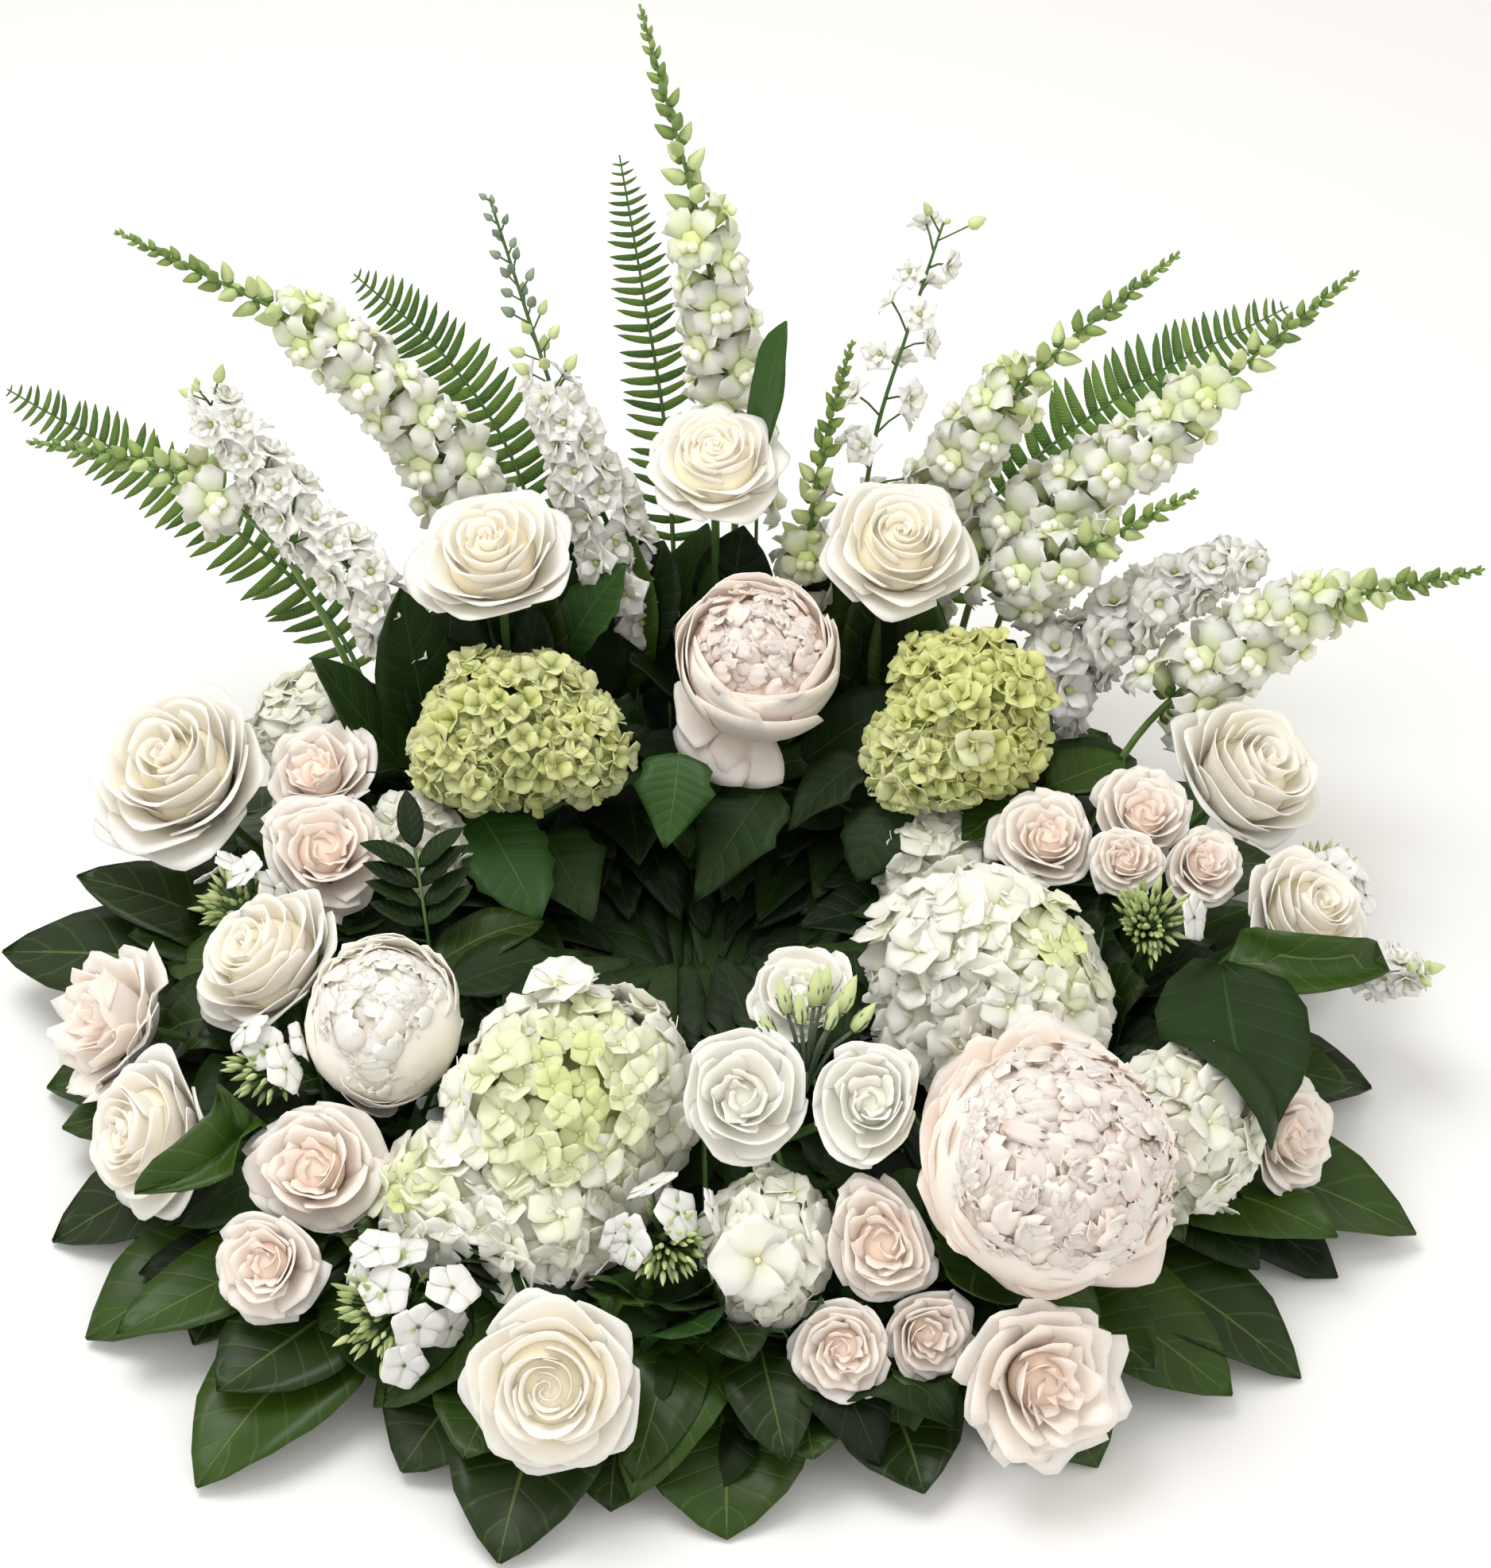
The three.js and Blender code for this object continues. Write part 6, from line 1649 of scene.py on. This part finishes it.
# Leaves here in the darker salal skin have shade painted into their colour.
SPECIAL_LEAVES = {
    "salal_inner_left": [
        (TOOTHED, (-132, 100, 98), (-92, 34, 72), 54, SOFT),
        (IVY, (-12, 112, 128), (-20, 70, 92), 50, SOFT),
        (IVY, (-92, 96, 80), (-62, 44, 56), 56, PAINTED_SHADE),
    ],
    "salal_inner_right": [
        (IVY, (42, 112, 104), (-2, 60, 58), 60, PAINTED_SHADE),
        (IVY, (134, 58, 54), (58, 38, 58), 62, PAINTED_SHADE),
        (IVY, (96, 108, 128), (52, 78, 98), 40, PAINTED_SHADE),
        (TOOTHED, (118, 92, 112), (92, 52, 84), 42, PAINTED_SHADE),
    ],
    "salal_collar_1": [
        (ROUND, (202, 94, 116), (152, 60, 108), 42, 0),
        (ROUND, (204, 96, 116), (250, 122, 114), 42, 0),
        (ROUND, (205, 120, 96), (262, 148, 92), 56, PAINTED_SHADE),
        (ROUND, (150, 170, 96), (190, 205, 140), 56, PAINTED_SHADE),
    ],
    "salal_collar_2": [
        (TOOTHED, (-86, 192, 128), (-44, 216, 186), 46, SOFT),
        (ROUND, (34, 252, 236), (50, 262, 330), 32, SOFT),
        (ROUND, (62, 128, 108), (128, 166, 130), 52, PAINTED_SHADE),
        (ROUND, (-40, 214, 110), (-22, 236, 190), 50, PAINTED_SHADE),
        (ROUND, (20, 222, 110), (26, 240, 196), 52, PAINTED_SHADE),
        (ROUND, (64, 214, 110), (78, 232, 190), 50, PAINTED_SHADE),
        (ROUND, (-10, 190, 96), (-42, 172, 150), 50, PAINTED_SHADE),
        (ROUND, (110, 200, 100), (128, 226, 172), 52, PAINTED_SHADE),
    ],
    "salal_collar_3": [
        (ROUND, (-176, 152, 92), (-252, 190, 112), 66, PAINTED_SHADE),
        (ROUND, (-146, 170, 96), (-150, 214, 166), 58, PAINTED_SHADE),
        (ROUND, (-112, 176, 96), (-96, 196, 168), 52, PAINTED_SHADE),
        (ROUND, (-190, 120, 90), (-186, 96, 128), 44, PAINTED_SHADE),
    ],
    "salal_collar_4": [
        (ROUND, (-150, -18, 82), (-88, 14, 90), 38, 0),
        (ROUND, (-138, -40, 88), (-74, -10, 84), 44, PAINTED_SHADE),
    ],
}
SPRIGS = {"salal_inner_left": [((-150, -14, 92), (-160, 34, 126), 4, 34, 15)]}


def sprig(foot, top, pairs, length, width):
    """A thin twig with pairs of small pointed leaflets and one at its tip"""
    foot, top = np.array(foot, float), np.array(top, float)
    along = (top - foot) / np.linalg.norm(top - foot)
    normal, left = frame_round(along, FERN_FACING)
    # The leaflets wear the darker salal skin, whose colour is painted shade.
    thin = [leaf(top, top + along * length, width, 0.03, free=True, skin=PAINTED_SHADE, grid=(4, 8))]
    for pair in range(pairs):
        seat = foot + (top - foot) * (0.25 + 0.75 * pair / pairs)
        for side in (1, -1):
            way = left * side * 0.86 + along * 0.5 + normal * draw(0.0, 0.3)
            thin.append(leaf(seat, seat + way * length, width, 0.03, free=True, skin=PAINTED_SHADE, grid=(4, 8)))
    return thin, [stalk([foot, (foot + top) / 2 + (0, 0, 2), top], 1.1), rooted(foot)]


def rooted(base):
    """A thin stalk from the foot of a leaf down into the foam"""
    down = foam_below(base)
    return stalk([base, (np.array(base) + down) / 2 + (0, 0, 4), down])


def special_leaves(name):
    thin, solid = [], []
    for kind, base, tip, width, skin in SPECIAL_LEAVES.get(name, []):
        thin.append(leaf(base, tip, width, 0.05, free=True, skin=skin, fold=kind.fold, teeth=kind.teeth,
                         stations=kind.stations, widths=kind.widths))
        solid.append(rooted(base))
    for row in SPRIGS.get(name, []):
        leaflets, twigs = sprig(*row)
        thin += leaflets
        solid += twigs
    return thin, solid


print("odd leaves", sum(len(rows) for rows in SPECIAL_LEAVES.values()), "and twigs", len(SPRIGS))

# %% [markdown]
# ## Front twigs, fan and tiers
# Short twigs lean in from the front of the ring and bear ivy-shaped leaves. Upright leaves stand at the foot
# of the tall spikes. A tier is one row of leaves on the inner wall of the foam, given by the degrees between
# leaves and the ranges of their heights and reaches.

# %% Front twigs, fan and tiers
FRONT_TWIGS = {
    "salal_collar_4": [(196, 130, 76), (212, 122, 86), (230, 116, 92)],
    "salal_collar_5": [(244, 112, 92), (258, 106, 88), (272, 104, 90), (287, 108, 94)],
    "salal_collar_6": [(301, 112, 92), (316, 118, 90), (332, 126, 84), (349, 134, 74)],
}
FRONT_TWIG_LEAVES = [(0, 62, 2), (22, 66, -8), (-24, 66, -12), (8, 64, -40), (-12, 60, -58), (6, 78, 6)]


def front_inner_leaves(name):
    """Twigs that lean into the opening from the front of the ring, behind the blooms"""
    thin, solid = [], []
    for degrees, radius, height in FRONT_TWIGS.get(name, []):
        foot = polar(FOAM_INNER + 10, degrees, STEM_END_HEIGHT)
        bend = polar(FOAM_INNER - 6, degrees, FOAM_TOP + 12)
        top = polar(radius, degrees, height)
        solid.append(tube([foot, bend, top], 1.6, STEM_SKIN))
        for turn, reach, drop in FRONT_TWIG_LEAVES:
            tip = polar(radius - reach, degrees + turn, height + drop + draw(-5, 5))
            # These leaves wear the darker salal skin, which paints the shade behind the blooms.
            thin.append(leaf(top, tip, draw(42, 54), 0.06, skin=PAINTED_SHADE, free=True, grid=(4, 10),
                             stations=IVY_STATIONS, widths=IVY_WIDTHS))
    return thin, solid


FAN_LEAVES = {"salal_collar_2": (54, 100, 11), "salal_collar_3": (104, 142, 8)}
LOW_FRONT = {"salal_collar_4": (196, 232), "salal_collar_5": (234, 294), "salal_collar_6": (296, 344)}
Tier = namedtuple("Tier", "spacing start_height tip_radius tip_height")
FRONT_TIER = Tier(8.0, (30, 46), (70, 104), (12, 50))


def fan_leaves(name):
    """Upright leaves behind the back roses, at the foot of the tall spikes"""
    thin, solid = [], []
    if name in FAN_LEAVES:
        for degrees in np.linspace(*FAN_LEAVES[name]):
            base = polar(draw(206, 226), degrees, 84)
            tip = polar(draw(232, 268), degrees + draw(-7, 7), draw(150, 205))
            # Most of them wear the darker salal skin: painted shade behind the roses.
            thin.append(leaf(base, tip, draw(48, 60), 0.0, skin=DRAW.choice([0, PAINTED_SHADE, PAINTED_SHADE])))
            solid.append(rooted(base))
    return thin, solid


def hanging_leaves(first, last, tier):
    """A row of leaves round the inner wall of the foam, each on a short stalk"""
    thin, solid = [], []
    for degrees in np.arange(first, last, tier.spacing):
        degrees = degrees + draw(-3, 3)
        start = polar(draw(158, 168), degrees, draw(*tier.start_height))
        tip = polar(draw(*tier.tip_radius), degrees + draw(-12, 12),
                    draw(*tier.tip_height))
        # All tier leaves wear the darker salal skin, whose colour is the painted shade of the well.
        thin.append(leaf(start, tip, draw(44, 58), 0.06, skin=PAINTED_SHADE, grid=(4, 10),
                         stations=IVY_STATIONS, widths=IVY_WIDTHS))
        solid.append(stalk([polar(FOAM_INNER + 8, degrees, start[2]), start]))
    return thin, solid


print("twigs that lean in from the front", sum(len(twigs) for twigs in FRONT_TWIGS.values()))

# %% [markdown]
# ## The pieces of the collar
# Each leaf of the table has a second, shorter one a little to its side and below it, so that the collar is
# two leaves deep. All that grows on a twig, or was tucked in beside it, is one piece with it.

# %% Collar pieces
UPPER_WIDTH, UNDER_WIDTH = 1.28, 1.1
BRANCH_WIDTH = 1.1
for index, leaves in enumerate(COLLAR_LEAVES):
    twig, first = collar_twig(index)
    name = f"salal_collar_{index + 1}"
    thin, solid = filler_leaves(index * SPRAY_SPAN, (index + 1) * SPRAY_SPAN, FILLERS_PER_SPRAY)
    solid.append(tube(twig, TWIG_RADIUS, STEM_SKIN))
    for degrees, reach, height, width in leaves:
        base = along_twig(twig, min(max((degrees - first) / SPRAY_LENGTH, 0.02), 0.98))
        thin.append(leaf(base, polar(reach, degrees, height), width * UPPER_WIDTH))
        shorter, beside = reach * draw(0.86, 0.93), degrees + DRAW.choice([-5.5, 5.5])
        under = polar(shorter, beside, max(height - 8, 3))
        # A leaf under another gets the plain or the darker salal skin; the darker one is painted shade.
        thin.append(leaf(base, under, width * UNDER_WIDTH, skin=DRAW.choice([0, PAINTED_SHADE]), grid=(4, 10)))
    for path, branch_leaves in EXTRA_BRANCHES.get(index, []):
        solid.append(tube(path, TWIG_RADIUS, STEM_SKIN))
        for tip, width, skin in branch_leaves:
            thin.append(leaf(path[-1], tip, width * BRANCH_WIDTH, 0.04, above=True, grid=(8, 12), skin=skin))
    groups = [special_leaves(name), front_inner_leaves(name), fan_leaves(name)]
    if name in LOW_FRONT:
        groups.append(hanging_leaves(*LOW_FRONT[name], FRONT_TIER))
    for leaves_in, stalks in groups:
        thin += leaves_in
        solid += stalks
    make_piece(name, LEAF_SKINS, thin, solid, thickness=LEAF_THICKNESS)
print("collar leaves", 2 * sum(len(leaves) for leaves in COLLAR_LEAVES))

# %% [markdown]
# ## Leaves in the opening
# Seen from in front, the opening is a dark well. Two salal branches lie round its back, one from each side,
# and leaves hang in from them in three tiers, one below the other. They hide the inner wall of the foam. The
# lowest leaves lie close to the table and almost meet in the middle, so that the well ends in leaves. The
# leaves of the branches and tiers wear the darker salal skin, which has the well's shade painted into it.

# %% Inner leaves
INNER_TWIG_RADIUS = 164
INNER_TWIG_HEIGHT = 62
INNER_SOCKET_HEIGHT = 40
INNER_SOCKET_TURN, INNER_BEND_TURN, INNER_STEPS = 6, 4, 3
INNER_BRANCHES = {
    "salal_inner_left": [152, 108, (104, 198), [
        (152, 118, 22, 46), (142, 116, 84, 44), (132, 112, 12, 50), (118, 110, 30, 48), (110, 112, 96, 46)]],
    "salal_inner_right": [44, 99, (-18, 103), [
        (97, 104, 12, 52), (90, 106, 88, 46), (76, 104, 24, 50), (66, 112, 82, 44), (54, 116, 12, 48),
        (44, 126, 70, 42)]],
}
TIERS = [
    Tier(6.0, (12, 26), (14, 42), (3, 12)),
    Tier(8.0, (28, 42), (66, 92), (16, 40)),
    Tier(9.5, (42, 56), (84, 116), (40, 70)),
]
for name, (start, end, (first, last), leaves) in INNER_BRANCHES.items():
    outward = 1 if start > end else -1
    bend = start + INNER_BEND_TURN * outward
    twig = [polar(FOAM_INNER + SOCKET_INSET, start + INNER_SOCKET_TURN * outward, INNER_SOCKET_HEIGHT),
            polar(INNER_TWIG_RADIUS + 4, bend, INNER_TWIG_HEIGHT)]
    twig += [polar(INNER_TWIG_RADIUS, start + (end - start) * step / INNER_STEPS, INNER_TWIG_HEIGHT)
             for step in range(INNER_STEPS + 1)]
    thin, solid = special_leaves(name)
    solid.append(tube(twig, TWIG_RADIUS, STEM_SKIN))
    for degrees, reach, height, width in leaves:
        share = min(max((bend - degrees) / (bend - end), 0.02), 0.98)
        # Branch leaves wear the darker salal skin: painted shade.
        thin.append(leaf(along_twig(twig, share), polar(reach, degrees, height), width, 0.0, skin=PAINTED_SHADE))
    for tier in TIERS:
        tier_leaves, stalks = hanging_leaves(first, last, tier)
        thin += tier_leaves
        solid += stalks
    make_piece(name, LEAF_SKINS, thin, solid, thickness=LEAF_THICKNESS)
    print(name, len(thin), "leaves")

# %% [markdown]
# ## Tray and foam
# The ring that carries everything is hardly seen. The foam is a block section with rounded top edges, spun
# round the middle. The tray is a shallow channel below it, spun the same way. Both have one grain that
# shades the colour and roughens the surface, fine in the foam and long in the plastic.

# %% Foam and tray
SPIN_STEPS = 96
WELD = 0.00005
EDGE_BEVEL = 0.6
SMOOTH_BELOW = 35


def grained_material(name, dark, light, scale, detail, roughness, strength, distance):
    material, tree, shader = new_material(name)
    grain = noise(tree, scale, detail)
    dress(tree, shader, blend_colours(tree, grain, dark, light), roughness, grain, strength, distance)
    return material


def spun_ring(node_name, outline, material):
    """A closed outline in the XZ plane, spun once round Z"""
    bpy.ops.object.select_all(action="DESELECT")
    bpy.ops.mesh.primitive_circle_add(vertices=len(outline), radius=0.01, fill_type="NOTHING")
    ring = bpy.context.object
    for vertex, (radius, height) in zip(ring.data.vertices, outline):
        vertex.co = (radius * MM, 0.0, height * MM)
    bpy.ops.object.mode_set(mode="EDIT")
    bpy.ops.mesh.select_all(action="SELECT")
    bpy.ops.mesh.spin(steps=SPIN_STEPS, angle=2 * math.pi, center=(0, 0, 0), axis=(0, 0, 1))
    bpy.ops.mesh.select_all(action="SELECT")
    bpy.ops.mesh.remove_doubles(threshold=WELD)
    bpy.ops.mesh.normals_make_consistent(inside=False)
    bpy.ops.object.mode_set(mode="OBJECT")
    bevel = ring.modifiers.new("soft edges", "BEVEL")
    bevel.width = EDGE_BEVEL * MM
    bevel.segments = 2
    bevel.limit_method = "ANGLE"
    bpy.ops.object.modifier_apply(modifier=bevel.name)
    bpy.ops.object.shade_smooth_by_angle(angle=math.radians(SMOOTH_BELOW))
    ring.data.materials.append(material)
    enter(ring, node_name)


CORNER_STEPS = 5


def arc_corner(radius, height, size, first_turn):
    angles = [first_turn + step * (math.pi / 2) / (CORNER_STEPS - 1) for step in range(CORNER_STEPS)]
    return [(radius + size * math.cos(angle), height + size * math.sin(angle)) for angle in angles]


FOAM = grained_material("wet floral foam", "2c4a26", "4d6e3c", 900.0, 3.0, 0.9, 0.6, 0.0006)
TRAY = grained_material("dark green polystyrene, moulded", "22301f", "314230", 45.0, 4.0, 0.45, 0.15, 0.0004)
FOAM_BOTTOM, FOAM_EDGE = 2.8, 12
foam_outline = [(FOAM_INNER, FOAM_BOTTOM), (FOAM_OUTER, FOAM_BOTTOM)]
foam_outline += arc_corner(FOAM_OUTER - FOAM_EDGE, FOAM_TOP - FOAM_EDGE, FOAM_EDGE, 0.0)
foam_outline += arc_corner(FOAM_INNER + FOAM_EDGE, FOAM_TOP - FOAM_EDGE, FOAM_EDGE, math.pi / 2)
spun_ring("foam_ring", foam_outline, FOAM)

TRAY_WALL, TRAY_FLOOR, TRAY_HEIGHT, SEAT_GAP = 2.0, 2.5, 15, 0.3
tray_inner, tray_outer = FOAM_INNER - SEAT_GAP, FOAM_OUTER + SEAT_GAP
spun_ring("ring_tray", [
    (tray_inner - TRAY_WALL, 0), (tray_outer + TRAY_WALL, 0), (tray_outer + TRAY_WALL, TRAY_HEIGHT),
    (tray_outer, TRAY_HEIGHT), (tray_outer, TRAY_FLOOR), (tray_inner, TRAY_FLOOR),
    (tray_inner, TRAY_HEIGHT), (tray_inner - TRAY_WALL, TRAY_HEIGHT),
], TRAY)
print("foam and tray spun in", SPIN_STEPS, "steps")

# %% [markdown]
# ## The floor
# A wide pale card, which is only stage, lies half a millimetre below the tray, so that no faces meet.

# %% Floor
FLOOR_SIZE, FLOOR_GAP = 12.0, 0.0005
bpy.ops.object.select_all(action="DESELECT")
bpy.ops.mesh.primitive_plane_add(size=FLOOR_SIZE, location=(0, 0, -FLOOR_GAP))
floor = bpy.context.object
floor.name = "floor"
card, _, card_shader = new_material("pale card")
card_shader.inputs["Base Color"].default_value = linear("f2f2f2")
card_shader.inputs["Roughness"].default_value = 0.9
floor.data.materials.append(card)
largest = max(COUNTS, key=COUNTS.get)
print("pieces", len(COUNTS), "triangles", sum(COUNTS.values()), "largest", largest, COUNTS[largest])
